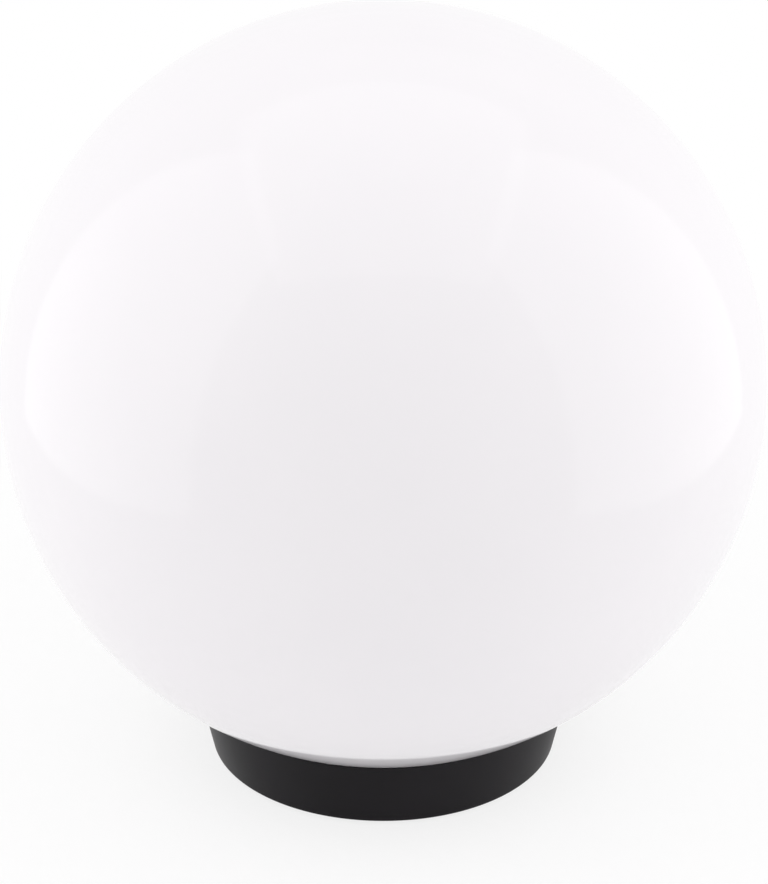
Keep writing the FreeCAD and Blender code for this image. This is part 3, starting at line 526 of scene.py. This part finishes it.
def makeFoot(shape):
    wall, bottom = shape["wall"], shape["bottom"]
    low, high = shape["deckLow"], shape["deckHigh"]
    skirtLow, skirtHigh = (shape["bottomRadius"], bottom), (shape["seatRadius"], shape["rimOuterHeight"])
    deckEdge, deckMiddle, ceilingMiddle = (shape["collarInner"], high), (0, high), (0, low)
    ceilingEdge = (skirtRadius(low, shape) - wall, low)
    plateSeat = (shape["bottomRadius"] - wall, shape["plateTop"])
    points = [skirtLow, *between(skirtLow, skirtHigh, shape["skirtRings"]), skirtHigh]
    points += [(shape["seatRadius"] - wall, shape["rimInnerHeight"]), (skirtRadius(high, shape) - wall, high)]
    points += [(shape["grooveOuter"], high), (shape["grooveOuter"], shape["grooveFloor"])]
    points += [(shape["grooveInner"], shape["grooveFloor"]), (shape["grooveInner"], high)]
    points += [(shape["collarOuter"], high), (shape["collarOuter"], shape["collarTop"])]
    points += [(shape["collarInner"], shape["collarTop"]), deckEdge]
    points += [*between(deckEdge, deckMiddle, shape["deckRings"]), deckMiddle, ceilingMiddle]
    points += [*between(ceilingMiddle, ceilingEdge, shape["ceilingRings"]), ceilingEdge]
    points += [*between(ceilingEdge, plateSeat, shape["innerRings"]), plateSeat, (plateSeat[0], bottom)]
    bm = bmesh.new()
    turnProfile(bm, points, shape["steps"], closed=True)
    mergeAndFaceOut(bm)

    def isFootEdge(edge):
        outside = all(math.hypot(v.co.x, v.co.y) / mm > shape["bottomRadius"] - 0.1 for v in edge.verts)
        return outside and edge.verts[0].co.z / mm < bottom * 2

    roundEdges(bm, shape["outerRound"], 4, 30, isFootEdge)
    roundEdges(bm, shape["edgeRound"], 3, 50)
    mergeAndFaceOut(bm)
    foot = toObject("footMoulding", bm, finish["anthraciteFoot"], 35)
    cutter = bmesh.new()
    bore, face, seat = shape["glandBoreRadius"], shape["glandFaceRadius"], shape["glandSeat"]
    start, past = shape["glandCutStart"], seat + shape["glandCutPast"]
    addStepped(cutter, [(0, start), (bore, start), (bore, seat), (face, seat), (face, past), (0, past)],
               shape["glandAxis"])
    floor, length = low - shape["holeBelow"], shape["holeLength"]
    addRod(cutter, shape["wireHoleRadius"], (0, shape["wireRow"], floor), length, "Z", 96)
    for x, y in aroundAxis(shape["screwCircle"], shape["screwCount"], shape["screwFirstDeg"]):
        addRod(cutter, shape["screwHoleRadius"], (x, y, floor), length, "Z")
    for side in (-1, 1):
        addRod(cutter, shape["bracketHoleRadius"], (side * shape["bracketScrewX"], 0, floor), length, "Z")
    mergeAndFaceOut(cutter)
    cutAway(foot, toMesh(cutter))
    reshade(foot, 35)
    return foot


def makeFootInside(shape):
    # gussets under the deck, bosses for the bracket's screws and the flat behind the gland
    bm = bmesh.new()
    low, reach, drop = shape["deckLow"], shape["gussetReach"], shape["gussetDrop"]
    top = low + shape["insideSink"]
    wall = skirtRadius(low, shape) - shape["wall"] / 2
    lowWall = skirtRadius(low - drop, shape) - shape["wall"] / 2
    for number in range(shape["gussetCount"]):
        outline = [(wall, top), (wall - reach, top), (wall - reach, low), (lowWall, low - drop)]
        verts = [bm.verts.new((x * mm, -shape["gussetHalf"] * mm, z * mm)) for x, z in outline]
        face = bm.faces.new(verts)
        pulled = bmesh.ops.extrude_face_region(bm, geom=[face])
        moved = [item for item in pulled["geom"] if isinstance(item, bmesh.types.BMVert)]
        bmesh.ops.translate(bm, verts=moved, vec=(0, 2 * shape["gussetHalf"] * mm, 0))
        turnAll(bm, verts + moved, turnZ(number * 360 / shape["gussetCount"] + shape["gussetFirstDeg"]))
    radius, bore = shape["bossRadius"], shape["bossBore"]
    end, boreEnd = low - shape["bossDrop"], low - shape["bossBoreDrop"]
    for side in (-1, 1):
        turnProfile(bm, [(bore, top), (radius, top), (radius, end), (0, end), (0, boreEnd), (bore, boreEnd)],
                    48, True, side * shape["bracketScrewX"], 0)
    addBlock(bm, shape["glandPadSize"], (0, shape["glandPadY"], shape["glandAxis"]))
    mergeAndFaceOut(bm)
    inside = toObject("footInside", bm, finish["anthraciteFoot"], 35)
    cutter = bmesh.new()
    addRod(cutter, shape["glandBoreRadius"], (0, shape["glandCutStart"], shape["glandAxis"]),
           shape["glandCutPast"], "Y")
    cutAway(inside, toMesh(cutter))
    reshade(inside, 35)
    return inside


def makeLugs(shape):
    bm = bmesh.new()
    for number in range(shape["lugCount"]):
        middle = number * 360 / shape["lugCount"]
        sectorBlock(bm, shape["collarOuter"] - shape["lugSink"], shape["lugOuter"], shape["lugLow"],
                    shape["collarTop"], middle, shape["lugWidthDeg"], int(shape["lugWidthDeg"]))
    mergeAndFaceOut(bm)
    roundEdges(bm, shape["edgeRound"], 3, 50)
    return evenShading(toObject("bayonetLugs", bm, finish["anthraciteFoot"], 35))


settle(makeFoot(footShape), "foot", "foot_plastic", "base_housing")
settle(makeLugs(footShape), "foot", "foot_plastic")
settle(makeFootInside(footShape), "foot", "foot_plastic")
print("foot made")


# gasket, rubber feet, plate and grommet
gasketShape = {"outer": 61.4, "inner": 57.1, "low": 21.0, "high": 23.6, "corner": 0.55, "steps": 200}


def makeGasket(shape):
    bm = bmesh.new()
    outer, inner, low, high = shape["outer"], shape["inner"], shape["low"], shape["high"]
    turnProfile(bm, [(outer, low), (outer, high), (inner, high), (inner, low)], shape["steps"], True)
    mergeAndFaceOut(bm)
    roundEdges(bm, shape["corner"], 4, 50)
    return evenShading(toObject("sealingGasket", bm, finish["blackRubber"], 50))


settle(makeGasket(gasketShape), "gasket", "rubber_black", "globe_gasket")

padShape = {
    "radius": 6.0, "height": 2.5, "edge": 0.5, "chamfer": 0.15, "circle": 56.5, "count": 4, "firstDeg": 45,
    "grooveOuter": 3.7, "grooveInner": 2.9, "grooveDepth": 0.35, "steps": 64,
}


def makePads(shape):
    bm = bmesh.new()
    radius, edge, chamfer, deep = shape["radius"], shape["edge"], shape["chamfer"], shape["grooveDepth"]
    points = [(0, 0), (shape["grooveInner"], 0), (shape["grooveInner"], deep), (shape["grooveOuter"], deep)]
    points += [(shape["grooveOuter"], 0), (radius - edge, 0), (radius - chamfer, chamfer), (radius, edge)]
    points += [(radius, shape["height"]), (0, shape["height"])]
    for x, y in aroundAxis(shape["circle"], shape["count"], shape["firstDeg"]):
        turnProfile(bm, points, shape["steps"], False, x, y)
    mergeAndFaceOut(bm)
    return toObject("groundPads", bm, finish["blackRubber"], 40)


settle(makePads(padShape), "foot", "rubber_black", "rubber_feet")
settle(cadCopy("footPlate", "base_plate", finish["blackPlate"]), "foot", "plate_plastic", "base_plate")
settle(cadCopy("wireGrommet", "wire_grommet", finish["blackRubber"]), "foot", "rubber_black", "wire_grommet")
print("gasket, pads, plate and grommet made")


# screws
screwShape = {
    "headRadius": 3.8, "headHeight": 2.4, "bevel": 0.2, "bevelHeight": 0.25, "sideShare": 0.45,
    "domePower": 0.7, "domeSteps": 6, "crest": 1.95, "root": 1.55, "pitch": 1.4, "pointLength": 1.4,
    "pointShare": 0.3, "plainLength": 0.6, "fadeLength": 0.8, "recessReach": 2.3, "recessWidth": 0.75,
    "recessDepth": 1.5, "recessTaper": 0.5, "recessTurnDeg": 20, "recessAbove": 1, "steps": 36,
    "rowsPerTurn": 8,
}


def addPanScrew(bm, recess, shape, x, y, seat, length, headUp):
    # a round-headed screw with a cross recess, its shank threaded and pointed a little at its end
    radius, height, side = shape["headRadius"], shape["headHeight"], shape["sideShare"]
    before = set(bm.verts)
    points = [(shape["root"], 0), (radius - shape["bevel"], 0), (radius, shape["bevelHeight"])]
    points += [(radius, side * height)]
    for step in range(1, shape["domeSteps"]):
        angle = math.radians(90 / shape["domeSteps"] * step)
        across = radius * math.cos(angle) ** shape["domePower"]
        points.append((across, height * (side + (1 - side) * math.sin(angle))))
    points += [(0, height)]
    turnProfile(bm, points, shape["steps"])

    def shankRadius(height, turn):
        fade = min(1, (height + length) / shape["pointLength"] + shape["pointShare"])
        fade *= min(1, max(0, -height - shape["plainLength"]) / shape["fadeLength"])
        wave = 0.5 + 0.5 * math.cos(fullTurn * (height / shape["pitch"] - turn))
        return shape["root"] + (shape["crest"] - shape["root"]) * wave * fade

    rows = int(length / shape["pitch"] * shape["rowsPerTurn"])
    threadedTube(bm, -length, 0, rows, shape["steps"], shankRadius, closeLow=True)
    made = [vert for vert in bm.verts if vert not in before]
    crossed = addCross(recess, shape, height)
    for mesh, verts in ((bm, made), (recess, crossed)):
        if not headUp:
            turnAll(mesh, verts, Matrix.Rotation(math.pi, 3, "X"))
        bmesh.ops.translate(mesh, verts=verts, vec=(x * mm, y * mm, seat * mm))


def addCross(bm, shape, height):
    # the tapering cross that is cut into a screw's head
    reach, half = shape["recessReach"], shape["recessWidth"] / 2
    top = (height + shape["recessAbove"]) * mm
    outline = []
    for quarter in range(4):
        turn = turnZ(90 * quarter + shape["recessTurnDeg"])
        for x, y in ((reach, -half), (reach, half), (half, half)):
            outline.append(bm.verts.new(turn @ Vector((x * mm, y * mm, top))))
    face = bm.faces.new(outline)
    pulled = bmesh.ops.extrude_face_region(bm, geom=[face])
    lower = [item for item in pulled["geom"] if isinstance(item, bmesh.types.BMVert)]
    for vert in lower:
        vert.co.x *= shape["recessTaper"]
        vert.co.y *= shape["recessTaper"]
        vert.co.z = (height - shape["recessDepth"]) * mm
    bmesh.ops.recalc_face_normals(bm, faces=bm.faces[:])
    return outline + lower


def makeScrews(name, screws):
    bm = bmesh.new()
    recess = bmesh.new()
    for x, y in screws["places"]:
        addPanScrew(bm, recess, screwShape, x, y, screws["seat"], screws["length"], screws["headUp"])
    mergeAndFaceOut(bm)
    made = toObject(name, bm, finish["zincSteel"], 35)
    cutAway(made, toMesh(recess))
    reshade(made, 35)
    return made


screwSets = {
    "deckScrews": {"places": aroundAxis(footShape["screwCircle"], 4, 45), "seat": footShape["deckHigh"],
                   "length": 13.0, "headUp": True, "replaced": "deck_screws"},
    "bracketScrews": {"places": [(-29.0, 0), (29.0, 0)], "seat": 22.8, "length": 9.0, "headUp": True,
                      "replaced": "bracket_screws"},
    "holderScrews": {"places": [(-14.0, 0), (14.0, 0)], "seat": 31.0, "length": 9.0, "headUp": False,
                     "replaced": "holder_screws"},
}
for name, screws in screwSets.items():
    settle(makeScrews(name, screws), "foot", "zinc_steel", screws["replaced"])
print("screws made")


# cable gland
glandShape = {
    "axis": 12.3, "capStart": 73.66, "gripEnd": 78.06, "capEnd": 82.46, "flats": 14.0, "bore": 3.9,
    "noseRadius": 6.0, "noseInset": 1.2, "noseFlat": 0.3, "insideRadius": 5.55, "insideEnd": 79.36, "lip": 0.4,
    "cornerRatio": 1.1547, "firstRatio": 1.10, "lastRatio": 1.06, "firstChamfer": 0.5, "lastChamfer": 0.6,
    "lastStep": 0.1, "steps": 96,
}


def makeGlandCap(shape):
    # a six-sided grip whose corners are rounded off, then a domed nose
    bm = bmesh.new()
    start, end, bore, lip = shape["capStart"], shape["capEnd"], shape["bore"], shape["lip"]
    grip, inside = shape["gripEnd"] - start, shape["insideEnd"] - start
    half, nose, inset = shape["flats"] / 2, shape["noseRadius"], shape["noseInset"]
    length = end - shape["gripEnd"]
    corner = half * shape["cornerRatio"]
    points = [(bore, inside), (shape["insideRadius"], inside), (shape["insideRadius"], 0)]
    points += [(half * shape["firstRatio"], 0), (corner, shape["firstChamfer"])]
    points += [(corner, grip - shape["lastChamfer"]), (half * shape["lastRatio"], grip - shape["lastStep"])]
    for step in range(7):
        angle = math.radians(15 * step)
        points.append((nose - inset + (half - nose + inset) * math.cos(angle),
                       grip + (length - shape["noseFlat"]) * math.sin(angle)))
    points += [(bore + lip, end - start), (bore, end - start - lip)]
    turnProfile(bm, points, shape["steps"], True)
    mergeAndFaceOut(bm)
    for vert in bm.verts:
        radius = math.hypot(vert.co.x, vert.co.y) / mm
        if radius > half * 1.001:
            angle = (math.degrees(math.atan2(vert.co.y, vert.co.x)) + 30) % 60 - 30
            flat = half / math.cos(math.radians(angle))
            scaled = min(radius, flat) / radius
            vert.co.x *= scaled
            vert.co.y *= scaled
    turnAll(bm, bm.verts[:], turnZ(30))
    turnAll(bm, bm.verts[:], layAlongY)
    bmesh.ops.translate(bm, verts=bm.verts[:], vec=(0, start * mm, shape["axis"] * mm))
    bmesh.ops.recalc_face_normals(bm, faces=bm.faces[:])
    return toObject("glandCap", bm, finish["glandNylon"], 30)


settle(makeGlandCap(glandShape), "foot", "gland_plastic", "gland_cap")
settle(cadCopy("glandBody", "gland_body", finish["glandNylon"]), "foot", "gland_plastic", "gland_body")
settle(cadCopy("glandSeal", "gland_seal", finish["blackRubber"]), "foot", "rubber_black", "gland_seal")
print("gland made")


# lampholder, with the thread that its shell and the bulb's cap share
threadShape = {
    "pitch": 3.629, "swing": 0.45, "capMiddle": 12.55, "gap": 0.3, "easeLength": 1.4, "steps": 96,
    "rowsPerTurn": 14,
}
shellShape = {"low": 50.2, "high": 74.2, "wall": 0.4, "plainFrom": 71.2}
capShape = {"low": 55.4, "high": 76.4, "wall": 0.5, "plainFrom": 71.6, "endRadius": 11.9, "startLength": 2.2}


def easeBetween(value, low, high):
    share = min(1, max(0, (value - low) / (high - low)))
    return share * share * (3 - 2 * share)


def threadRadius(height, turn, shape, middle):
    # the helix round its middle radius, which ends in a plain collar
    thread = threadShape
    swing = thread["swing"] * math.cos(fullTurn * (height / thread["pitch"] - turn))
    plain = easeBetween(height, shape["plainFrom"], shape["plainFrom"] + thread["easeLength"])
    return middle + swing * (1 - plain) + thread["swing"] * plain


def shellRadius(height, turn):
    return threadRadius(height, turn, shellShape, threadShape["capMiddle"] + threadShape["gap"])


def capRadius(height, turn):
    radius = threadRadius(height, turn, capShape, threadShape["capMiddle"])
    start = easeBetween(height, capShape["low"], capShape["low"] + capShape["startLength"])
    return capShape["endRadius"] + (radius - capShape["endRadius"]) * start


def makeThreaded(name, shape, radiusAt, wall, look):
    bm = bmesh.new()
    rows = int((shape["high"] - shape["low"]) / threadShape["pitch"] * threadShape["rowsPerTurn"])
    threadedTube(bm, shape["low"], shape["high"], rows, threadShape["steps"], radiusAt)
    bmesh.ops.solidify(bm, geom=bm.faces[:], thickness=wall * mm)
    bmesh.ops.recalc_face_normals(bm, faces=bm.faces[:])
    return toObject(name, bm, finish[look], 40)


settle(makeThreaded("threadedShell", shellShape, shellRadius, -shellShape["wall"], "nickelShell"),
       "foot", "shell_nickel", "screw_shell")

holderShape = {
    "low": 32.2, "baseRadius": 22.0, "baseHigh": 48.2, "baseChamfer": 1, "stepHigh": 49.7, "stepRadius": 20.5,
    "topRadius": 20.0, "rimRadius": 21.0, "rimLow": 75.2, "rimFull": 76.2, "rimHigh": 77.2, "high": 78.2,
    "mouth": 15.8, "bore": 13.8, "boreHigh": 74.2, "ledgeHigh": 50.2, "ledge": 12.5, "cavity": 46.2,
    "steps": 160, "glaze": 0.55, "poles": (-4.8, 4.8), "accessRadius": 2.85, "accessLength": 12,
    "accessY": 14.5, "accessZ": 37.0, "pocketSize": (6.8, 10, 10.5), "pocketY": 12.3, "pocketZ": 36.45,
    "leadRadius": 1.3, "leadLength": 8, "leadY": 9.0, "leadZ": 40.0, "screwRadius": 2.0, "screwLength": 9.8,
    "screwX": 14.0, "screwZ": 31.2,
}


def makeHolder(shape):
    base, low, chamfer = shape["baseRadius"], shape["low"], shape["baseChamfer"]
    points = [(0, low), (base - chamfer, low), (base, low + chamfer), (base, shape["baseHigh"])]
    points += [(shape["stepRadius"], shape["stepHigh"]), (shape["topRadius"], shape["rimLow"])]
    points += [(shape["rimRadius"], shape["rimFull"]), (shape["rimRadius"], shape["rimHigh"])]
    points += [(shape["topRadius"], shape["high"]), (shape["mouth"], shape["high"])]
    points += [(shape["bore"], shape["boreHigh"]), (shape["bore"], shape["ledgeHigh"])]
    points += [(shape["ledge"], shape["ledgeHigh"]), (shape["ledge"], shape["cavity"]), (0, shape["cavity"])]
    bm = bmesh.new()
    turnProfile(bm, points, shape["steps"])
    mergeAndFaceOut(bm)
    roundEdges(bm, shape["glaze"], 4, 20)
    mergeAndFaceOut(bm, 0.000001)
    holder = toObject("porcelainHolder", bm, finish["glazedPorcelain"], 40)
    cutter = bmesh.new()
    for x in shape["poles"]:
        addRod(cutter, shape["accessRadius"], (x, shape["accessY"], shape["accessZ"]), shape["accessLength"],
               "Y", 64)
        addBlock(cutter, shape["pocketSize"], (x, shape["pocketY"], shape["pocketZ"]))
        addRod(cutter, shape["leadRadius"], (x, shape["leadY"], shape["leadZ"]), shape["leadLength"], "Z", 32)
    for side in (-1, 1):
        addRod(cutter, shape["screwRadius"], (side * shape["screwX"], 0, shape["screwZ"]), shape["screwLength"],
               "Z")
    cutAway(holder, toMesh(cutter), True)
    reshade(holder, 40)
    return holder


settle(makeHolder(holderShape), "foot", "porcelain", "holder_body")
settle(cadCopy("holderBridge", "holder_bracket", finish["zincSteel"]), "foot", "zinc_steel", "holder_bracket")
print("lampholder made")


# bulb
settle(makeThreaded("threadedCap", capShape, capRadius, capShape["wall"], "nickelCap"),
       "bulb", "cap_nickel", "bulb_cap")

bulbShape = {
    "tipLow": 49.4, "tipHigh": 51.0, "tipRadius": 4.8, "tipCurve": [(1.8, 0.02), (3.0, 0.12), (4.0, 0.42)],
    "tipSide": (0.15, 0.9), "tipEdge": 0.3, "glassRadius": 11.35, "glassHigh": 57.4, "glassStart": (0.5, 0.15),
    "glassCurve": [(7.2, 1.7), (9.3, 3.1), (10.8, 4.4)], "glassSide": 5.2, "spigot": 11.3, "spigotLow": 61.4,
    "capTop": 76.4, "neckRadius": 14.0, "neckHigh": 79.4, "neckRound": 0.5, "bend": (0.25, 0.6), "wall": 1.6,
    "throat": 9.7, "seamRadius": 27.83, "seamLow": 113.0, "seam": 116.2, "seamBend": (0.15, 0.4),
    "rimRound": 0.25, "ledgeOuter": 26.53, "ledgeInner": 24.83, "center": 127.4, "domeRadius": 30.0,
    "domeWall": 1.2, "domeRows": 40, "steps": 128,
}


def makeTip(shape):
    low, high, radius = shape["tipLow"], shape["tipHigh"], shape["tipRadius"]
    inward, rise = shape["tipSide"]
    points = [(0, low)] + [(across, low + up) for across, up in shape["tipCurve"]]
    points += [(radius - inward, low + rise), (radius, high - shape["tipEdge"]), (radius, high), (0, high)]
    return turnedPiece("solderTip", points, 64, False, "tinSolder", 50)


def makeGlassEnd(shape):
    low, high, radius = shape["tipHigh"], shape["glassHigh"], shape["glassRadius"]
    outward, rise = shape["glassStart"]
    points = [(0, low), (shape["tipRadius"], low), (shape["tipRadius"] + outward, low + rise)]
    points += [(across, low + up) for across, up in shape["glassCurve"]]
    points += [(radius, low + shape["glassSide"]), (radius, high), (0, high)]
    return turnedPiece("glassEnd", points, 96, False, "blackGlass", 50)


def makeBulbBody(shape):
    spigot, neck, seam, wall = shape["spigot"], shape["neckRadius"], shape["seamRadius"], shape["wall"]
    top, shoulder, rim, seamLow = shape["capTop"], shape["neckHigh"], shape["seam"], shape["seamLow"]
    corner, edge, throat = shape["neckRound"], shape["rimRound"], shape["throat"]
    outward, up = shape["bend"]
    inward, ease = shape["seamBend"]
    points = [(spigot, shape["spigotLow"]), (spigot, top), (neck - corner, top), (neck, top + corner)]
    points += [(neck, shoulder - up), (neck + outward, shoulder + up)]
    points += [(seam - inward, seamLow - ease), (seam, seamLow + ease), (seam, rim - edge)]
    points += [(seam - edge, rim), (shape["ledgeOuter"], rim), (shape["ledgeOuter"], rim - wall)]
    points += [(shape["ledgeInner"], rim - wall), (neck - wall, shoulder), (throat, top)]
    points += [(throat, shape["spigotLow"])]
    return turnedPiece("bulbHousing", points, shape["steps"], True, "whiteHeatsink", 30)


def makeDome(shape):
    center, outer, rows = shape["center"], shape["domeRadius"], shape["domeRows"]
    inner = outer - shape["domeWall"]
    drop = center - shape["seam"]
    outerDeg = -math.degrees(math.asin(drop / outer))
    innerDeg = -math.degrees(math.asin(drop / inner))
    points = arcPoints(center, outer, outerDeg, 90, rows) + arcPoints(center, inner, 90, innerDeg, rows)
    return turnedPiece("bulbDome", points, shape["steps"], True, "frostedDome", 40)


settle(makeTip(bulbShape), "bulb_tip", "tip_solder", "bulb_tip_contact")
settle(makeGlassEnd(bulbShape), "bulb", "bulb_insulator", "bulb_insulator")
settle(makeBulbBody(bulbShape), "bulb", "bulb_white", "bulb_body")
settle(makeDome(bulbShape), "bulb", "bulb_opal", "bulb_diffuser")
print("bulb made")


# pieces kept as they are, with their finishes
keptFinish = {
    "plate_seal": "blackRubber", "gland_nut": "glandNylon", "terminal_block": "terminalNylon",
    "terminal_tubes": "brassTurned", "terminal_screws": "zincSteel", "terminal_block_screw": "zincSteel",
    "lead_live": "brownLead", "lead_neutral": "blueLead", "holder_terminals": "brassTurned",
    "holder_terminal_screws": "zincSteel", "centre_contact": "bronzeStrip", "side_contact": "bronzeStrip",
    "bulb_led_board": "solderMask",
}
for name, look in keptFinish.items():
    nodes[name].data.materials.clear()
    nodes[name].data.materials.append(finish[look])
print("kept pieces finished")


# camera, lamps, world and floor
viewShape = {
    "distance": 2.2, "elevationDeg": 27.0, "aimDownDeg": 0.5955, "aimSideDeg": 0.007, "lens": 229.2,
    "sensorWidth": 36, "target": (0, 0, 0.160),
}


def makeCamera(shape):
    data = bpy.data.cameras.new("camera")
    data.lens = shape["lens"]
    data.sensor_width = shape["sensorWidth"]
    camera = bpy.data.objects.new("camera", data)
    scene.collection.objects.link(camera)
    elevation = math.radians(shape["elevationDeg"])
    back = Vector((0, -math.cos(elevation), math.sin(elevation)))
    camera.location = Vector(shape["target"]) + back * shape["distance"]
    tilt = math.radians(90 - shape["elevationDeg"] - shape["aimDownDeg"])
    camera.rotation_euler = (tilt, 0, -math.radians(shape["aimSideDeg"]))
    scene.camera = camera


makeCamera(viewShape)

# each lamp's place, size across and up, the point it faces, its radiance, and its strength in reflections as a
# multiple of that
lampShapes = {
    "leftPanel": {"at": (-0.47, -0.085, 0.43), "size": (0.62, 1.17), "facing": (0, -0.085, 0.43),
                  "radiance": 0.37, "inReflections": 0.5},
    "rightPanel": {"at": (0.47, -0.085, 0.43), "size": (0.62, 1.17), "facing": (0, -0.085, 0.43),
                   "radiance": 0.37, "inReflections": 0.5},
    "topPanel": {"at": (0.12, 0.53, 1.06), "size": (1.0, 1.24), "facing": (0.12, 0.53, 0),
                 "radiance": 0.05, "inReflections": 5.0},
    "overheadPanel": {"at": (0, 0, 1.4), "size": (1.6, 1.6), "facing": (0, 0, 0),
                      "radiance": 0.30, "inReflections": 0.0},
}
roomShape = {
    "worldLight": 0.83, "worldSeen": 1.0, "floorSize": 60.0, "floorTone": 0.96, "floorGlow": 0.8,
    "fadeFrom": 0.2, "fadeTo": 0.46, "floorSides": 96,
}


def makeLamp(name, shape):
    data = bpy.data.lights.new(name, "AREA")
    data.shape = "RECTANGLE"
    data.size, data.size_y = shape["size"]
    data.energy = shape["radiance"] * math.pi * data.size * data.size_y
    lamp = bpy.data.objects.new(name, data)
    lamp.location = shape["at"]
    direction = Vector(shape["facing"]) - Vector(shape["at"])
    lamp.rotation_euler = direction.to_track_quat("-Z", "Y").to_euler()
    lamp.visible_camera = False
    data.use_nodes = True
    tree = data.node_tree
    path = addNode(tree, "ShaderNodeLightPath")
    strength = addNode(tree, "ShaderNodeMapRange", To_Min=1.0, To_Max=shape["inReflections"])
    tree.links.new(path.outputs["Is Glossy Ray"], strength.inputs["Value"])
    tree.links.new(strength.outputs["Result"], tree.nodes["Emission"].inputs["Strength"])
    scene.collection.objects.link(lamp)


for name, shape in lampShapes.items():
    makeLamp(name, shape)


def seenMask(tree):
    # 1 where the camera sees a thing, also by reflection or through glass, and 0 where it only lights
    path = addNode(tree, "ShaderNodeLightPath")
    seen = mathNode(tree, "MAXIMUM", path.outputs["Is Camera Ray"], path.outputs["Is Glossy Ray"])
    return mathNode(tree, "MAXIMUM", seen, path.outputs["Is Transmission Ray"])


def makeWorld(shape):
    world = bpy.data.worlds.new("room")
    scene.world = world
    world.use_nodes = True
    tree = world.node_tree
    background = tree.nodes["Background"]
    background.inputs["Color"].default_value = (1, 1, 1, 1)
    strength = addNode(tree, "ShaderNodeMapRange", To_Min=shape["worldLight"], To_Max=shape["worldSeen"])
    tree.links.new(seenMask(tree), strength.inputs["Value"])
    tree.links.new(strength.outputs["Result"], background.inputs["Strength"])


def makeFloor(shape):
    # matte for the object's shadow, and white where it is far from the object
    material = bpy.data.materials.new("floorPale")
    material.use_nodes = True
    tree = material.node_tree
    tree.nodes.clear()
    link = tree.links.new
    output = addNode(tree, "ShaderNodeOutputMaterial")
    matte = addNode(tree, "ShaderNodeBsdfDiffuse")
    matte.inputs["Color"].default_value = (shape["floorTone"],) * 3 + (1,)
    glow = addNode(tree, "ShaderNodeEmission", Strength=1.0)
    place = addNode(tree, "ShaderNodeTexCoord")
    distance = addNode(tree, "ShaderNodeVectorMath", operation="LENGTH")
    fade = addNode(tree, "ShaderNodeMapRange", From_Min=shape["fadeFrom"], From_Max=shape["fadeTo"],
                   To_Min=shape["floorGlow"], To_Max=1.0)
    mix = addNode(tree, "ShaderNodeMixShader")
    link(place.outputs["Object"], distance.inputs[0])
    link(distance.outputs["Value"], fade.inputs["Value"])
    link(mathNode(tree, "MULTIPLY", seenMask(tree), fade.outputs["Result"]), mix.inputs["Fac"])
    link(matte.outputs["BSDF"], mix.inputs[1])
    link(glow.outputs["Emission"], mix.inputs[2])
    link(mix.outputs["Shader"], output.inputs["Surface"])
    bm = bmesh.new()
    bmesh.ops.create_circle(bm, cap_ends=True, segments=shape["floorSides"], radius=shape["floorSize"] / 2)
    floor = toObject("floor", bm, material)


makeWorld(roomShape)
makeFloor(roomShape)
print("camera, lamps, world and floor made")
scene.view_settings.view_transform = "Standard"
